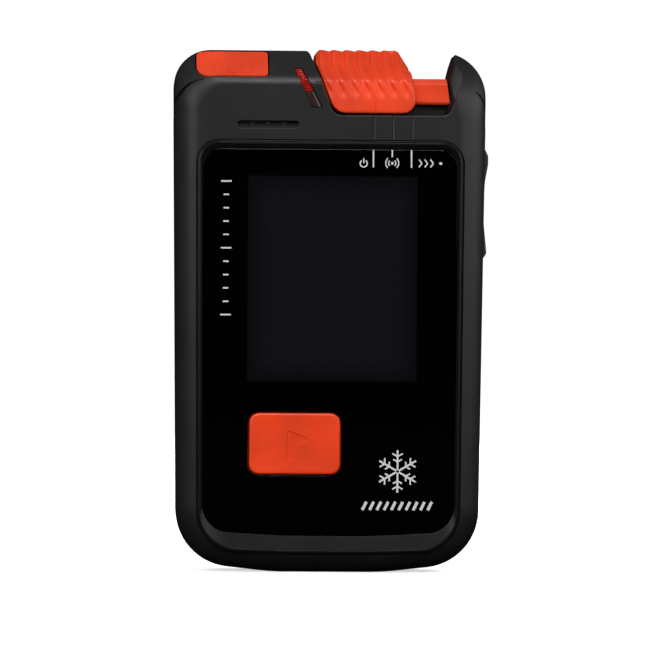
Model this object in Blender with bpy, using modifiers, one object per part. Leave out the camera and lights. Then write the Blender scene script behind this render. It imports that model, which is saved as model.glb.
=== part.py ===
"""Avalanche transceiver: a pocket radio beacon in a two-shell plastic case.

Run with: blender --background --python part.py

The case stands upright on its flat base. X runs to the right as seen from the
front, Y runs from the front face to the back, and Z is up. The origin is the
middle of the flat base. All sizes below are in millimetres, and the helpers
turn them into metres when they make a mesh.
"""

import math

import bmesh
import bpy
from mathutils import Matrix, Vector

MM = 0.001
GAP = 0.3  # between two pieces that touch on the real object

# ---------------------------------------------------------------- the case
HEIGHT = 113.75
DEPTH = 24.0
HALF_WIDTH_TOP = 34.2
HALF_WIDTH_BASE = 33.0
FRONT_Y = -DEPTH / 2
BACK_Y = DEPTH / 2
WALL = 1.8
PARTING_Y = 3.0
CORNER_TOP = 8.0
HORN_CORNER = 10.0  # the top corner beside the mode switch
CORNER_BASE = 12.5
BASE_FLAT_HALF = 12.0  # the base is flat this far from its middle
BASE_LIFT = 2.3  # and rises by this much to its corners
BASE_BEND = 60.0
ROOM_CORNER = 14.5
ROOM_TOP_Z = 96.9
CORNER_STEPS = 6

SHOULDER_Z = 107.05  # where the front face turns back into the sloping shoulder
ROLL_DEPTH = 7.0  # how far back the front edge's rounding reaches
SIDE_ROLL = 6.5
BASE_ROLL = 5.5
BACK_ROLL = 5.0
ROLL_STEPS = 5

SLOPE_RISE = HEIGHT - SHOULDER_Z
SLOPE_LENGTH = math.hypot(SLOPE_RISE, ROLL_DEPTH)
SLOPE_UP = Vector((0, ROLL_DEPTH, SLOPE_RISE)) / SLOPE_LENGTH
SLOPE_OUT = Vector((0, -SLOPE_RISE, ROLL_DEPTH)) / SLOPE_LENGTH
SLOPE_ANGLE = math.atan2(SLOPE_RISE, ROLL_DEPTH)

# ------------------------------------------------------- window and display
LENS_TOP = 92.2
LENS_BASE = 8.1
LENS_HALF_TOP = 27.9
LENS_HALF_BASE = 27.3
LENS_FRONT_Y = -11.1
LENS_THICKNESS = 1.3
BEZEL_SIDE = 1.2
BEZEL_TOP = 1.7
BEZEL_BASE = 3.9
BEZEL_BACK_Y = -9.7
PLATE_FRONT_Y = -8.8
PLATE_BACK_Y = -7.4
DISPLAY_X = 0.6
DISPLAY_Z = 64.0
LCD_WIDTH = 42.0
LCD_HEIGHT = 50.0

# -------------------------------------------------------------- flag button
FLAG_X = -7.4
FLAG_Z = 28.1
FLAG_WIDTH = 19.9
FLAG_HEIGHT = 13.4
FLAG_CORNER = 2.2
FLAG_FRONT_Y = -11.6

# ------------------------------------------------------------- mode switch
NOTCH_FLOOR_Z = 99.5
RAIL_TOP_Z = 107.7
RAIL_HEAD_Z = 102.1
RAIL_HALF_HEAD = 8.5
RAIL_HALF_NECK = 5.0
RAIL_END_X = 24.9
SLIDER_BASE_Z = 99.9
SLIDER_TOP_Z = 114.0
SLIDER_SIDE_X = 16.9  # the right side behind its front wall
SLIDER_GAP = 0.4  # round the rail
SLIDER_FRONT_Y = -12.4
SLIDER_BACK_Y = 12.2
SWITCH_STEP = 4.05  # from one switch position to the next
RAIL_PEGS_X = (3.0, 21.0)
DETENT_X = 7.0  # the detent spring's nose, at the first position

# -------------------------------------------------------------- lock button
LOCK_X0 = -29.2
LOCK_X1 = -13.7
LOCK_LOW = 1.3  # along the slope, from the front face's edge
LOCK_HIGH = 9.2
LOCK_THICKNESS = 2.4
LOCK_POCKET = 3.6
STEM_X = (LOCK_X0 + LOCK_X1) / 2
STEM_RADIUS = 1.2
STEM_ALONG = 5.0

# ---------------------------------------------------------- side keys
KEY_UP_Z = (82.9, 92.7)
KEY_DOWN_Z = (68.7, 77.4)
KEY_Y = (-4.6, 1.2)
KEY_PROUD = 0.85

# ------------------------------------------------------ speaker and lamp
SPEAKER_X = -13.85
SPEAKER_SLOT_Z = 97.2
SPEAKER_SLOT_WIDTH = 13.4
SPEAKER_SLOT_HEIGHT = 2.0
SLIT_WIDTH = 2.75
SLIT_PITCH = 3.4
SLIT_HEIGHT = 1.1
SPEAKER_HALF = 7.6
LAMP_LOW = 101.1
LAMP_SPLIT = 104.5  # the light guide above, the smoked window below
LAMP_HIGH = 109.8
LAMP_LEFT = -8.2
LAMP_LEAN = 3.9
LAMP_WIDTH = 2.1
LAMP_WIDENING = 0.75
LAMP_BACK_Y = -6.9

# --------------------------------------------------------- battery bay
CELL_RADIUS = 5.25
CELL_LENGTH = 44.5
CELL_PITCH = 11.2
CELL_Y = 4.75
BAY_HALF = 17.3
BAY_LOW_Z = 12.5
BAY_HIGH_Z = 62.5
BAY_WALL = 1.2
BAY_FLOOR_Y = -0.8
DOOR_HALF = 19.0
DOOR_TOP_Z = 75.0
DOOR_THICKNESS = 1.5
HINGE_Y = 10.6
HINGE_Z = 8.2
BARREL_RADIUS = 1.4
BARREL_HALF = 15.2
PIN_RADIUS = 0.6
RECESS_FLOOR_Y = 9.0
LOCK_DISC_Z = 69.5
LOCK_DISC_RADIUS = 4.6
LOCK_BOSS_RADIUS = 5.5

# ------------------------------------------------------------ leash anchor
LEASH_X = (-24.0, -10.0)
LEASH_Z = (91.5, 104.5)
LEASH_FLOOR_Y = 6.0
LEASH_PIN_Y = 9.6
LEASH_PIN_RADIUS = 1.0

# --------------------------------------------------------------- fasteners
CASE_SCREWS = ((-26.8, 92.2), (26.8, 92.2), (-24.4, 10.4), (24.4, 10.4))
BOARD_SCREWS = ((-26.4, 30.0), (26.4, 30.0))
BOARD_FRONT_Y = -4.6
BOARD_THICKNESS = 1.2
BOARD_Z = (16.0, 88.8)
BOARD_HALF = 29.5
BOARD_TAB_HALF = 22.0
BOARD_TAB_TOP = 96.4

COLOURS = {
    "case_black": ((0.020, 0.020, 0.021), 0.55, 0.0),
    "gloss_black": ((0.003, 0.003, 0.003), 0.08, 0.0),
    "orange": ((0.75, 0.075, 0.012), 0.45, 0.0),
    "red_window": ((0.45, 0.015, 0.01), 0.15, 0.0),
    "smoked_window": ((0.05, 0.03, 0.03), 0.15, 0.0),
    "rubber_black": ((0.015, 0.015, 0.015), 0.8, 0.0),
    "steel": ((0.55, 0.55, 0.56), 0.3, 1.0),
    "copper": ((0.60, 0.25, 0.10), 0.35, 1.0),
    "ferrite": ((0.05, 0.05, 0.055), 0.6, 0.0),
    "board_green": ((0.01, 0.10, 0.04), 0.5, 0.0),
    "display_grey": ((0.02, 0.02, 0.027), 0.2, 0.0),
    "cell_wrap": ((0.08, 0.09, 0.11), 0.35, 0.6),
    "flex_amber": ((0.45, 0.17, 0.02), 0.4, 0.0),
}


# ================================================================= helpers
def clear_scene():
    for obj in list(bpy.data.objects):
        bpy.data.objects.remove(obj)


def make_collection(name):
    collection = bpy.data.collections.new(name)
    bpy.context.scene.collection.children.link(collection)
    return collection


def make_material(slot):
    colour, roughness, metallic = COLOURS[slot]
    made = bpy.data.materials.new(slot)
    made.use_nodes = True
    shader = made.node_tree.nodes["Principled BSDF"]
    shader.inputs["Base Color"].default_value = (*colour, 1)
    shader.inputs["Roughness"].default_value = roughness
    shader.inputs["Metallic"].default_value = metallic
    return made


def adopt(obj, name, slot=None):
    """Names a new object and moves it to the part's collection, or to the cutters'."""
    obj.name = name
    obj.data.name = name
    for collection in list(obj.users_collection):
        collection.objects.unlink(obj)
    if slot is None:
        CUTTERS.objects.link(obj)
        obj.hide_render = True
        obj.display_type = "WIRE"
    else:
        PARTS.objects.link(obj)
        obj.data.materials.clear()
        obj.data.materials.append(MATERIALS[slot])
    return obj


def smooth(obj, degrees=35):
    obj.data.shade_smooth()
    obj.data.set_sharp_from_angle(angle=math.radians(degrees))
    return obj


def as_mesh(curve, name, slot=None):
    """A mesh object in place of a curve, with its caps welded to its sides."""
    graph = bpy.context.evaluated_depsgraph_get()
    mesh = bpy.data.meshes.new_from_object(curve.evaluated_get(graph))
    work = bmesh.new()
    work.from_mesh(mesh)
    bmesh.ops.remove_doubles(work, verts=work.verts, dist=0.00001)
    bmesh.ops.recalc_face_normals(work, faces=work.faces)
    work.to_mesh(mesh)
    work.free()
    made = bpy.data.objects.new(name, mesh)
    made.matrix_world = curve.matrix_world
    bpy.context.scene.collection.objects.link(made)
    bpy.data.objects.remove(curve)
    return adopt(made, name, slot)


def box(name, x, y, z, slot=None):
    """A box between two values on each axis."""
    centre = [(low + high) / 2 * MM for low, high in (x, y, z)]
    size = [(high - low) * MM for low, high in (x, y, z)]
    bpy.ops.mesh.primitive_cube_add(size=1, location=centre)
    made = bpy.context.object
    made.scale = size
    bpy.ops.object.transform_apply(location=False, rotation=False, scale=True)
    return adopt(made, name, slot)


def rod(name, radius, start, end, slot=None, sides=24, end_radius=None):
    """A cylinder, or a cone, from one point to another."""
    start, end = Vector(start) * MM, Vector(end) * MM
    run = end - start
    bpy.ops.mesh.primitive_cone_add(
        vertices=sides,
        radius1=radius * MM,
        radius2=(radius if end_radius is None else end_radius) * MM,
        depth=run.length,
        location=(start + end) / 2,
        rotation=run.to_track_quat("Z", "Y").to_euler(),
    )
    return adopt(bpy.context.object, name, slot)


def plate(name, outline, y0, y1, slot=None):
    """A flat outline in X and Z, given thickness along Y."""
    curve = bpy.data.curves.new(name, "CURVE")
    curve.dimensions = "2D"
    curve.fill_mode = "BOTH"
    curve.extrude = (y1 - y0) / 2 * MM
    spline = curve.splines.new("POLY")
    spline.points.add(len(outline) - 1)
    for point, (x, z) in zip(spline.points, outline):
        point.co = (x * MM, z * MM, 0, 1)
    spline.use_cyclic_u = True
    made = bpy.data.objects.new(name, curve)
    made.matrix_world = Matrix.Translation((0, (y0 + y1) / 2 * MM, 0)) @ Matrix.Rotation(math.pi / 2, 4, "X")
    bpy.context.scene.collection.objects.link(made)
    return as_mesh(made, name, slot)


def loft(name, sections, slot=None):
    """A closed solid through sections, each a loop of the same number of points."""
    work = bmesh.new()
    loops = [[work.verts.new(Vector(point) * MM) for point in section] for section in sections]
    count = len(loops[0])
    for near, far in zip(loops, loops[1:]):
        for i in range(count):
            j = (i + 1) % count
            work.faces.new((near[i], near[j], far[j], far[i]))
    work.faces.new(reversed(loops[0]))
    work.faces.new(loops[-1])
    bmesh.ops.recalc_face_normals(work, faces=work.faces)
    mesh = bpy.data.meshes.new(name)
    work.to_mesh(mesh)
    work.free()
    return adopt(bpy.data.objects.new(name, mesh), name, slot)


def coil(name, axis_start, axis_end, radius, wire, turns, slot, end_radius=None):
    """A coil spring of round wire between two points on its axis."""
    start, end = Vector(axis_start), Vector(axis_end)
    end_radius = radius if end_radius is None else end_radius
    turn = (end - start).to_track_quat("Z", "Y").to_matrix()
    steps = turns * 12
    curve = bpy.data.curves.new(name, "CURVE")
    curve.dimensions = "3D"
    curve.bevel_depth = wire / 2 * MM
    curve.bevel_resolution = 1
    curve.use_fill_caps = True
    spline = curve.splines.new("POLY")
    spline.points.add(steps)
    for i, point in enumerate(spline.points):
        share = i / steps
        angle = 2 * math.pi * turns * share
        reach = radius + (end_radius - radius) * share
        around = turn @ Vector((math.cos(angle), math.sin(angle), 0)) * reach
        point.co = (*((start + (end - start) * share + around) * MM), 1)
    made = bpy.data.objects.new(name, curve)
    bpy.context.scene.collection.objects.link(made)
    return adopt(made, name, slot)


def boolean(target, other, operation):
    step = target.modifiers.new(f"{operation.lower()} {other.name}", "BOOLEAN")
    step.operation = operation
    step.object = other
    step.solver = "EXACT"
    return target


def cut(target, *cutters):
    for cutter in cutters:
        boolean(target, cutter, "DIFFERENCE")
    return target


def add(target, *others):
    for other in others:
        boolean(target, other, "UNION")
    return target


# ================================================================= outlines
def rounded(corners, radii, steps=CORNER_STEPS):
    """A closed outline through corners, each rounded with an arc of its radius."""
    points = []
    count = len(corners)
    for i, radius in enumerate(radii):
        here = Vector(corners[i])
        to_last = (Vector(corners[i - 1]) - here).normalized()
        to_next = (Vector(corners[(i + 1) % count]) - here).normalized()
        half = to_last.angle(to_next) / 2
        centre = here + (to_last + to_next).normalized() * radius / math.sin(half)
        first = here + to_last * radius / math.tan(half) - centre
        swing = first.angle_signed(here + to_next * radius / math.tan(half) - centre)
        for k in range(steps + 1):
            spoke = Vector(first)
            spoke.rotate(Matrix.Rotation(-swing * k / steps, 2))
            points.append(tuple(centre + spoke))
    return points


def rectangle(x, z, radius, steps=CORNER_STEPS):
    corners = [(x[0], z[0]), (x[1], z[0]), (x[1], z[1]), (x[0], z[1])]
    return rounded(corners, [radius] * 4, steps)


def tapered(half_top, half_base, low, high, radius_top, radius_base, steps=CORNER_STEPS):
    """A rounded outline that is wider at its top than at its base."""
    corners = [(-half_base, low), (half_base, low), (half_top, high), (-half_top, high)]
    return rounded(corners, [radius_base, radius_base, radius_top, radius_top], steps)


def case_section(y, side, base, top, spread):
    """The case's outline at one depth, drawn in by side, base and top; spread is 1 at full size."""
    half_top, half_base = HALF_WIDTH_TOP - side, HALF_WIDTH_BASE - side
    lift = BASE_LIFT * (0.3 + 0.7 * spread)
    corners = [(-BASE_FLAT_HALF, base), (BASE_FLAT_HALF, base), (half_base, base + lift)]
    corners += [(half_top, HEIGHT - top), (-half_top, HEIGHT - top), (-half_base, base + lift)]
    base_radius, drawn_in = CORNER_BASE - 3.0 * (1 - spread), 2.5 * (1 - spread)
    top_radii = [HORN_CORNER - drawn_in, CORNER_TOP - drawn_in]
    radii = [BASE_BEND, BASE_BEND, base_radius, *top_radii, base_radius]
    return [(x, y, z) for x, z in rounded(corners, radii, CORNER_STEPS)]


def case_skin(name, slot=None):
    """The whole case as one solid: rolled front edges, a sloping shoulder and a rolled back."""
    sections = []
    for k in range(ROLL_STEPS + 1):
        angle = math.pi / 2 * k / ROLL_STEPS
        drawn_in, back = 1 - math.sin(angle), 1 - math.cos(angle)
        y = FRONT_Y + ROLL_DEPTH * back
        top = SLOPE_RISE * (1 - back)
        sections.append(case_section(y, SIDE_ROLL * drawn_in, BASE_ROLL * drawn_in, top, 1 - drawn_in))
    for k in range(ROLL_STEPS + 1):
        angle = math.pi / 2 * k / ROLL_STEPS
        y = BACK_Y - BACK_ROLL * (1 - math.sin(angle))
        drawn_in = BACK_ROLL * (1 - math.cos(angle))
        sections.append(case_section(y, drawn_in, drawn_in, drawn_in, math.cos(angle)))
    return loft(name, sections, slot)


def on_slope(x, along, into):
    """A point at x, along the shoulder from the front face's edge, and into the case."""
    edge = Vector((x, FRONT_Y, SHOULDER_Z))
    return edge + SLOPE_UP * along - SLOPE_OUT * into


def tilted_box(name, x, along, above, pivot, angle, slot=None):
    """A box turned about an X line through the pivot; above is measured out of its plane."""
    made = box(name, x, along, above, slot)
    place = Matrix.Translation(Vector(pivot) * MM)
    bpy.context.view_layer.update()
    made.matrix_world = place @ Matrix.Rotation(angle, 4, "X") @ made.matrix_world
    return made


def slope_box(name, x, along, into, slot=None):
    """A box whose sides lie along the shoulder's slope."""
    above = (-into[1], -into[0])
    return tilted_box(name, x, along, above, (0, FRONT_Y, SHOULDER_Z), SLOPE_ANGLE, slot)


def notch_cutter(name, grow=0.0):
    """The gap for the mode switch; its right wall flares towards the front."""
    low = NOTCH_FLOOR_Z - grow
    left = [(-13.0 - grow, 117.0), (-4.6 - grow, 113.5), (0.7 - grow, low)]
    front = [(25.6, low), (27.2, 103.2), (28.7, 107.3), (28.9, 117.0)]
    back = [(25.3, low), (25.9, 107.3), (26.8, 111.2), (28.4, 117.0)]
    sections = []
    for y, share in ((FRONT_Y - 3, 0.0), (-8.8, 0.0), (-7.6, 0.75), (-6.5, 1.0), (BACK_Y + 3, 1.0)):
        right = [Vector(f).lerp(Vector(b), share) + Vector((grow, 0)) for f, b in zip(front, back)]
        radii = [0.5, 1.6, 2.5, 2.3 - 1.8 * share, 4.0 - 3.0 * share, 4.0 - share, 0.5]
        outline = rounded([*left, *map(tuple, right)], radii, 4)
        sections.append([(x, y, z) for x, z in outline])
    return loft(name, sections)


# ================================================================= the shells
def bezel_outline(grow=0.0):
    return tapered(
        LENS_HALF_TOP + BEZEL_SIDE + grow,
        LENS_HALF_BASE + BEZEL_SIDE + grow,
        LENS_BASE - BEZEL_BASE - grow,
        LENS_TOP + BEZEL_TOP + grow,
        5.0 + grow,
        8.8 + grow,
    )


def lens_outline(grow=0.0):
    return tapered(
        LENS_HALF_TOP + grow,
        LENS_HALF_BASE + grow,
        LENS_BASE - grow,
        LENS_TOP + grow,
        4.2 + grow,
        6.8 + grow,
    )


def display_frame(grow):
    x = (DISPLAY_X - LCD_WIDTH / 2 - grow, DISPLAY_X + LCD_WIDTH / 2 + grow)
    z = (DISPLAY_Z - LCD_HEIGHT / 2 - grow, DISPLAY_Z + LCD_HEIGHT / 2 + grow)
    return x, z


def flag_outline(grow=0.0):
    x = (FLAG_X - FLAG_WIDTH / 2 - grow, FLAG_X + FLAG_WIDTH / 2 + grow)
    z = (FLAG_Z - FLAG_HEIGHT / 2 - grow, FLAG_Z + FLAG_HEIGHT / 2 + grow)
    return rectangle(x, z, FLAG_CORNER + grow, 4)


def lamp_outline(low, high, grow=0.0):
    """The slanted lamp slot between two heights; it leans like the switch and widens downwards."""

    def edges(z):
        down = (LAMP_HIGH - z) / (LAMP_HIGH - LAMP_LOW)
        left = LAMP_LEFT + LAMP_LEAN * down
        return left - grow, left + LAMP_WIDTH + LAMP_WIDENING * down + grow

    (low_left, low_right), (high_left, high_right) = edges(low), edges(high)
    base, top = low - grow, high + grow
    return [(low_left, base), (low_right, base), (high_right, top), (high_left, top)]


def key_wall_x(z):
    """The case's flat side at height z."""
    return HALF_WIDTH_BASE + (HALF_WIDTH_TOP - HALF_WIDTH_BASE) * z / HEIGHT


def room_outline(side):
    """The hollow inside the case, a wall's thickness in from the skin."""
    half_top, half_base = HALF_WIDTH_TOP - side, HALF_WIDTH_BASE - side
    return tapered(half_top, half_base, side, ROOM_TOP_Z, 3.0, ROOM_CORNER - side)


def half_space(name, front):
    """A block over the front or the back of the parting line."""
    y = (-20.0, PARTING_Y - GAP / 2) if front else (PARTING_Y + GAP / 2, 20.0)
    return box(name, (-50, 50), y, (-10, 130))


def boss(name, x, z, y0, y1, radius):
    return rod(name, radius, (x, y0, z), (x, y1, z), sides=20)


def stem_run(near, far):
    """The two ends of a stretch of the lock button's axis, by their depths."""
    return [on_slope(STEM_X, STEM_ALONG, depth) for depth in (near, far)]


def lock_stem_cutters():
    """The stepped hole behind the lock button: spring seat, stem hole and clip space."""
    steps = ((2.5, LOCK_POCKET - 0.4, 6.2), (STEM_RADIUS + GAP, 6.0, 7.6), (2.6, 7.4, 13.0))
    return [rod(f"cut_lock_hole_{i}", radius, *stem_run(*run)) for i, (radius, *run) in enumerate(steps)]


def front_cavities():
    """The hollow of the front shell: the main room, and a shallower one behind the speaker."""
    rooms = []
    for side, y in ((2.8, PLATE_BACK_Y), (WALL, -5.0), (WALL, PARTING_Y + 1)):
        rooms.append([(x, y, z) for x, z in room_outline(side)])
    main = loft("cut_front_room", rooms)
    outline = rectangle((-31.2, -3.4), (96.2, 104.4), 1.5, 3)
    upper = plate("cut_speaker_room", outline, -10.2, PARTING_Y + 1)
    return main, upper


def make_front_housing():
    shell = case_skin("front_housing", slot="case_black")
    boolean(shell, half_space("keep_front_half", True), "INTERSECT")
    cut(shell, notch_cutter("cut_front_notch"), *front_cavities())
    cut(shell, plate("cut_window_pocket", bezel_outline(GAP), FRONT_Y - 2, PLATE_FRONT_Y))
    through = (PLATE_FRONT_Y - 1, PLATE_BACK_Y + 1)
    cut(shell, plate("cut_display_hole", rectangle(*display_frame(0.5), 1.0, 2), *through))
    cut(shell, plate("cut_flag_hole", flag_outline(GAP), *through))
    for i, (x, z) in enumerate(CASE_SCREWS):
        add(shell, boss(f"front_boss_{i}", x, z, PLATE_BACK_Y - 0.6, PARTING_Y - GAP / 2, 2.9))
        cut(shell, boss(f"cut_front_boss_{i}", x, z, -3.0, PARTING_Y + 1, 1.3))
    for i, (x, z) in enumerate(BOARD_SCREWS):
        add(shell, boss(f"board_boss_{i}", x, z, PLATE_BACK_Y - 0.6, BOARD_FRONT_Y - GAP, 2.2))
        cut(shell, boss(f"cut_board_boss_{i}", x, z, PLATE_BACK_Y + 0.4, BOARD_FRONT_Y + 1, 1.1))
    along = (LOCK_LOW - GAP, LOCK_HIGH + GAP)
    cut(shell, slope_box("cut_lock_pocket", (LOCK_X0 - GAP, LOCK_X1 + GAP), along, (-3.0, LOCK_POCKET)))
    cut(shell, *lock_stem_cutters())
    cut(shell, plate("cut_lamp_slot", lamp_outline(LAMP_LOW, LAMP_HIGH), FRONT_Y - 2, LAMP_BACK_Y + 0.4))
    cut_speaker_slot(shell)
    for name, (low, high) in (("up", KEY_UP_Z), ("down", KEY_DOWN_Z)):
        y, z = (KEY_Y[0] - GAP, KEY_Y[1] + GAP), (low - GAP, high + GAP)
        cut(shell, box(f"cut_key_{name}", (30.0, 40.0), y, z))
    hole_z = (NOTCH_FLOOR_Z - 0.9, NOTCH_FLOOR_Z + 1.0)
    for i, x in enumerate(RAIL_PEGS_X):
        cut(shell, box(f"cut_rail_peg_{i}", (x - 1.3, x + 1.3), (-4.3, -0.7), hole_z))
    return smooth(shell)


def cut_speaker_slot(shell):
    half = SPEAKER_SLOT_WIDTH / 2
    x = (SPEAKER_X - half, SPEAKER_X + half)
    z = (SPEAKER_SLOT_Z - SPEAKER_SLOT_HEIGHT / 2, SPEAKER_SLOT_Z + SPEAKER_SLOT_HEIGHT / 2)
    cut(shell, plate("cut_speaker_slot", rectangle(x, z, 0.95, 4), FRONT_Y - 2, FRONT_Y + 0.6))
    for i in range(4):
        centre = SPEAKER_X + (i - 1.5) * SLIT_PITCH
        x = (centre - SLIT_WIDTH / 2, centre + SLIT_WIDTH / 2)
        z = (SPEAKER_SLOT_Z - SLIT_HEIGHT / 2 + 0.2, SPEAKER_SLOT_Z + SLIT_HEIGHT / 2 + 0.2)
        cut(shell, box(f"cut_speaker_slit_{i}", x, (FRONT_Y - 1, -9.0), z))


def make_rear_housing():
    shell = case_skin("rear_housing", slot="case_black")
    boolean(shell, half_space("keep_rear_half", False), "INTERSECT")
    cut(shell, notch_cutter("cut_rear_notch"))
    rooms = []
    for side, y in ((WALL, PARTING_Y - 1), (WALL, BACK_Y - BACK_ROLL), (WALL + 2.6, BACK_Y - WALL)):
        rooms.append([(x, y, z) for x, z in room_outline(side)])
    cut(shell, loft("cut_rear_room", rooms))
    add_battery_bay(shell)
    add_leash_recess(shell)
    for i, (x, z) in enumerate(CASE_SCREWS):
        add(shell, boss(f"rear_boss_{i}", x, z, PARTING_Y + GAP / 2, BACK_Y - 0.9, 3.3))
        cut(shell, boss(f"cut_rear_boss_{i}", x, z, PARTING_Y - 1, BACK_Y + 2, 1.35))
        cut(shell, boss(f"cut_screw_head_{i}", x, z, 8.6, BACK_Y + 2, 2.4))
    return smooth(shell)


def add_battery_bay(shell):
    """The sealed bay for the cells, the recess that the door closes, and the hinge ears."""
    tub_half = DOOR_HALF + 2.2
    bay_x = (-BAY_HALF - BAY_WALL, BAY_HALF + BAY_WALL)
    bay_z = (BAY_LOW_Z - BAY_WALL, BAY_HIGH_Z + BAY_WALL)
    opening = rectangle((-DOOR_HALF - 0.4, DOOR_HALF + 0.4), (HINGE_Z - 1.75, DOOR_TOP_Z + 0.4), 1.6, 3)
    add(shell, box("door_tub", (-tub_half, tub_half), (RECESS_FLOOR_Y - BAY_WALL, 11.0), (4.9, 77.2)))
    add(shell, box("bay_walls", bay_x, (BAY_FLOOR_Y - BAY_WALL, RECESS_FLOOR_Y - 0.4), bay_z))
    add(shell, box("cam_tub", (-9.2, 9.2), (6.0, RECESS_FLOOR_Y), (63.0, 76.0)))
    cut(shell, plate("cut_door_recess", opening, RECESS_FLOOR_Y, BACK_Y + 2))
    inside = box("cut_bay", (-BAY_HALF, BAY_HALF), (BAY_FLOOR_Y, BACK_Y), (BAY_LOW_Z, BAY_HIGH_Z))
    cut(shell, inside, box("cut_cam_room", (-8.0, 8.0), (7.2, BACK_Y), (64.9, DOOR_TOP_Z + 0.4)))
    for side in (-1, 1):
        x = sorted((side * (BARREL_HALF + GAP), side * (DOOR_HALF + 1.0)))
        ear = box(f"hinge_ear_{side}", x, (RECESS_FLOOR_Y - 0.4, BACK_Y - 0.1), (HINGE_Z - 2.2, 9.8))
        add(shell, ear)
    reach = DOOR_HALF + GAP
    ends = [(x, HINGE_Y, HINGE_Z) for x in (-reach, reach)]
    cut(shell, rod("cut_hinge_pin", PIN_RADIUS + 0.2, *ends, sides=16))


def add_leash_recess(shell):
    """A pocket in the back with a steel pin across it, for the leash's loop."""
    wall = 1.2
    x = (LEASH_X[0] - wall - 0.6, LEASH_X[1] + wall + 0.6)
    add(shell, box("leash_tub", x, (LEASH_FLOOR_Y - wall, 11.0), (LEASH_Z[0] - wall, LEASH_Z[1] + wall)))
    cut(shell, plate("cut_leash_recess", rectangle(LEASH_X, LEASH_Z, 2.0, 3), LEASH_FLOOR_Y, BACK_Y + 2))
    middle = sum(LEASH_Z) / 2
    ends = [(x, LEASH_PIN_Y, middle) for x in (LEASH_X[0] - 1.1, LEASH_X[1] + 1.1)]
    cut(shell, rod("cut_leash_pin", LEASH_PIN_RADIUS + 0.2, *ends, sides=16))


def make_housing_gasket():
    """The rubber ring that seals the two shells, just inside their walls."""
    side = WALL + GAP

    def ring(name, grow, y, slot=None):
        half_top, half_base = (half - side - grow for half in (HALF_WIDTH_TOP, HALF_WIDTH_BASE))
        top_z, corner = ROOM_TOP_Z - GAP - grow, ROOM_CORNER - side - grow
        outline = tapered(half_top, half_base, side + grow, top_z, 2.7 - grow, corner)
        return plate(name, outline, *y, slot)

    gasket = ring("housing_gasket", 0.0, (PARTING_Y - 0.8, PARTING_Y + 0.8), "rubber_black")
    cut(gasket, ring("cut_gasket", 0.9, (PARTING_Y - 2, PARTING_Y + 2)))
    return gasket


# ================================================================= the front
def make_front_bezel():
    """The frame round the lens: it slopes down to the lens, and is widest at the base."""
    bezel = plate("front_bezel", bezel_outline(), FRONT_Y - 0.5, BEZEL_BACK_Y, "case_black")
    skin = case_skin("bezel_skin")
    boolean(bezel, skin, "INTERSECT")
    near = [(x, FRONT_Y - 0.6, z) for x, z in bezel_outline(-0.05)]
    mid = [(x, LENS_FRONT_Y, z) for x, z in lens_outline()]
    far = [(x, BEZEL_BACK_Y + 1, z) for x, z in lens_outline(0.001)]
    cut(bezel, loft("cut_bezel_slope", [near, mid, far]))
    return smooth(bezel)


def make_display_lens():
    y = (LENS_FRONT_Y, LENS_FRONT_Y + LENS_THICKNESS)
    lens = plate("display_lens", lens_outline(-GAP / 2), *y, "gloss_black")
    cut(lens, plate("cut_lens_flag", flag_outline(GAP), FRONT_Y - 1, PLATE_FRONT_Y))
    return lens


def make_lens_gasket():
    """The foam frame that beds the lens on the front plate."""
    near = LENS_FRONT_Y + LENS_THICKNESS + GAP / 2
    gasket = plate("lens_gasket", lens_outline(-1.0), near, PLATE_FRONT_Y - GAP / 2, "rubber_black")
    cut(gasket, plate("cut_gasket_display", rectangle(*display_frame(0.4), 1.0, 2), near - 1, PLATE_FRONT_Y))
    cut(gasket, plate("cut_gasket_flag", flag_outline(0.8), near - 1, PLATE_FRONT_Y))
    return gasket


def make_display():
    plate("lcd_panel", rectangle(*display_frame(0.0), 0.5, 1), -9.3, -7.2, "display_grey")
    plate("lcd_frame", rectangle(*display_frame(1.0), 1.0, 2), -6.9, -5.4, "case_black")
    ribbon = [(38.2, -4.2), (35.6, -4.2), (34.0, -5.0), (34.0, -5.3), (35.5, -4.5), (38.2, -4.5)]
    x = (8.0, 20.0)
    loft("lcd_ribbon", [[(end, y - 0.65, z) for z, y in ribbon] for end in x], "flex_amber")


def make_flag_button():
    """The front key: a cap through the lens and the plate, with a flange behind the plate."""
    cap = plate("flag_button", flag_outline(-0.05), FLAG_FRONT_Y, PLATE_BACK_Y + 0.7, "orange")
    edge = cap.modifiers.new("soft edge", "BEVEL")
    edge.width = 0.35 * MM
    edge.segments = 2
    edge.limit_method = "ANGLE"
    add(cap, plate("flag_flange", flag_outline(1.3), PLATE_BACK_Y + GAP, -6.3))
    add(cap, rod("flag_nub", 1.5, (FLAG_X, -6.5, FLAG_Z), (FLAG_X, -6.2, FLAG_Z), sides=12))
    x, z = ((middle - 3, middle + 3) for middle in (FLAG_X, FLAG_Z))
    box("flag_switch", x, (-5.3, BOARD_FRONT_Y - GAP / 2), z, "steel")
    return smooth(cap)


# ================================================================= the switch
def slider_outline():
    base = [(0.9, SLIDER_BASE_Z), (18.3, SLIDER_BASE_Z)]
    right = [(18.45, 103.3), (17.6, 108.9), (14.7, SLIDER_TOP_Z)]
    left = [(-3.1, SLIDER_TOP_Z), (-3.3, 111.3)]
    return rounded([*base, *right, *left], [3.4, 2.9, 2.0, 5.0, 0.9, 0.7, 2.2], 4)


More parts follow.
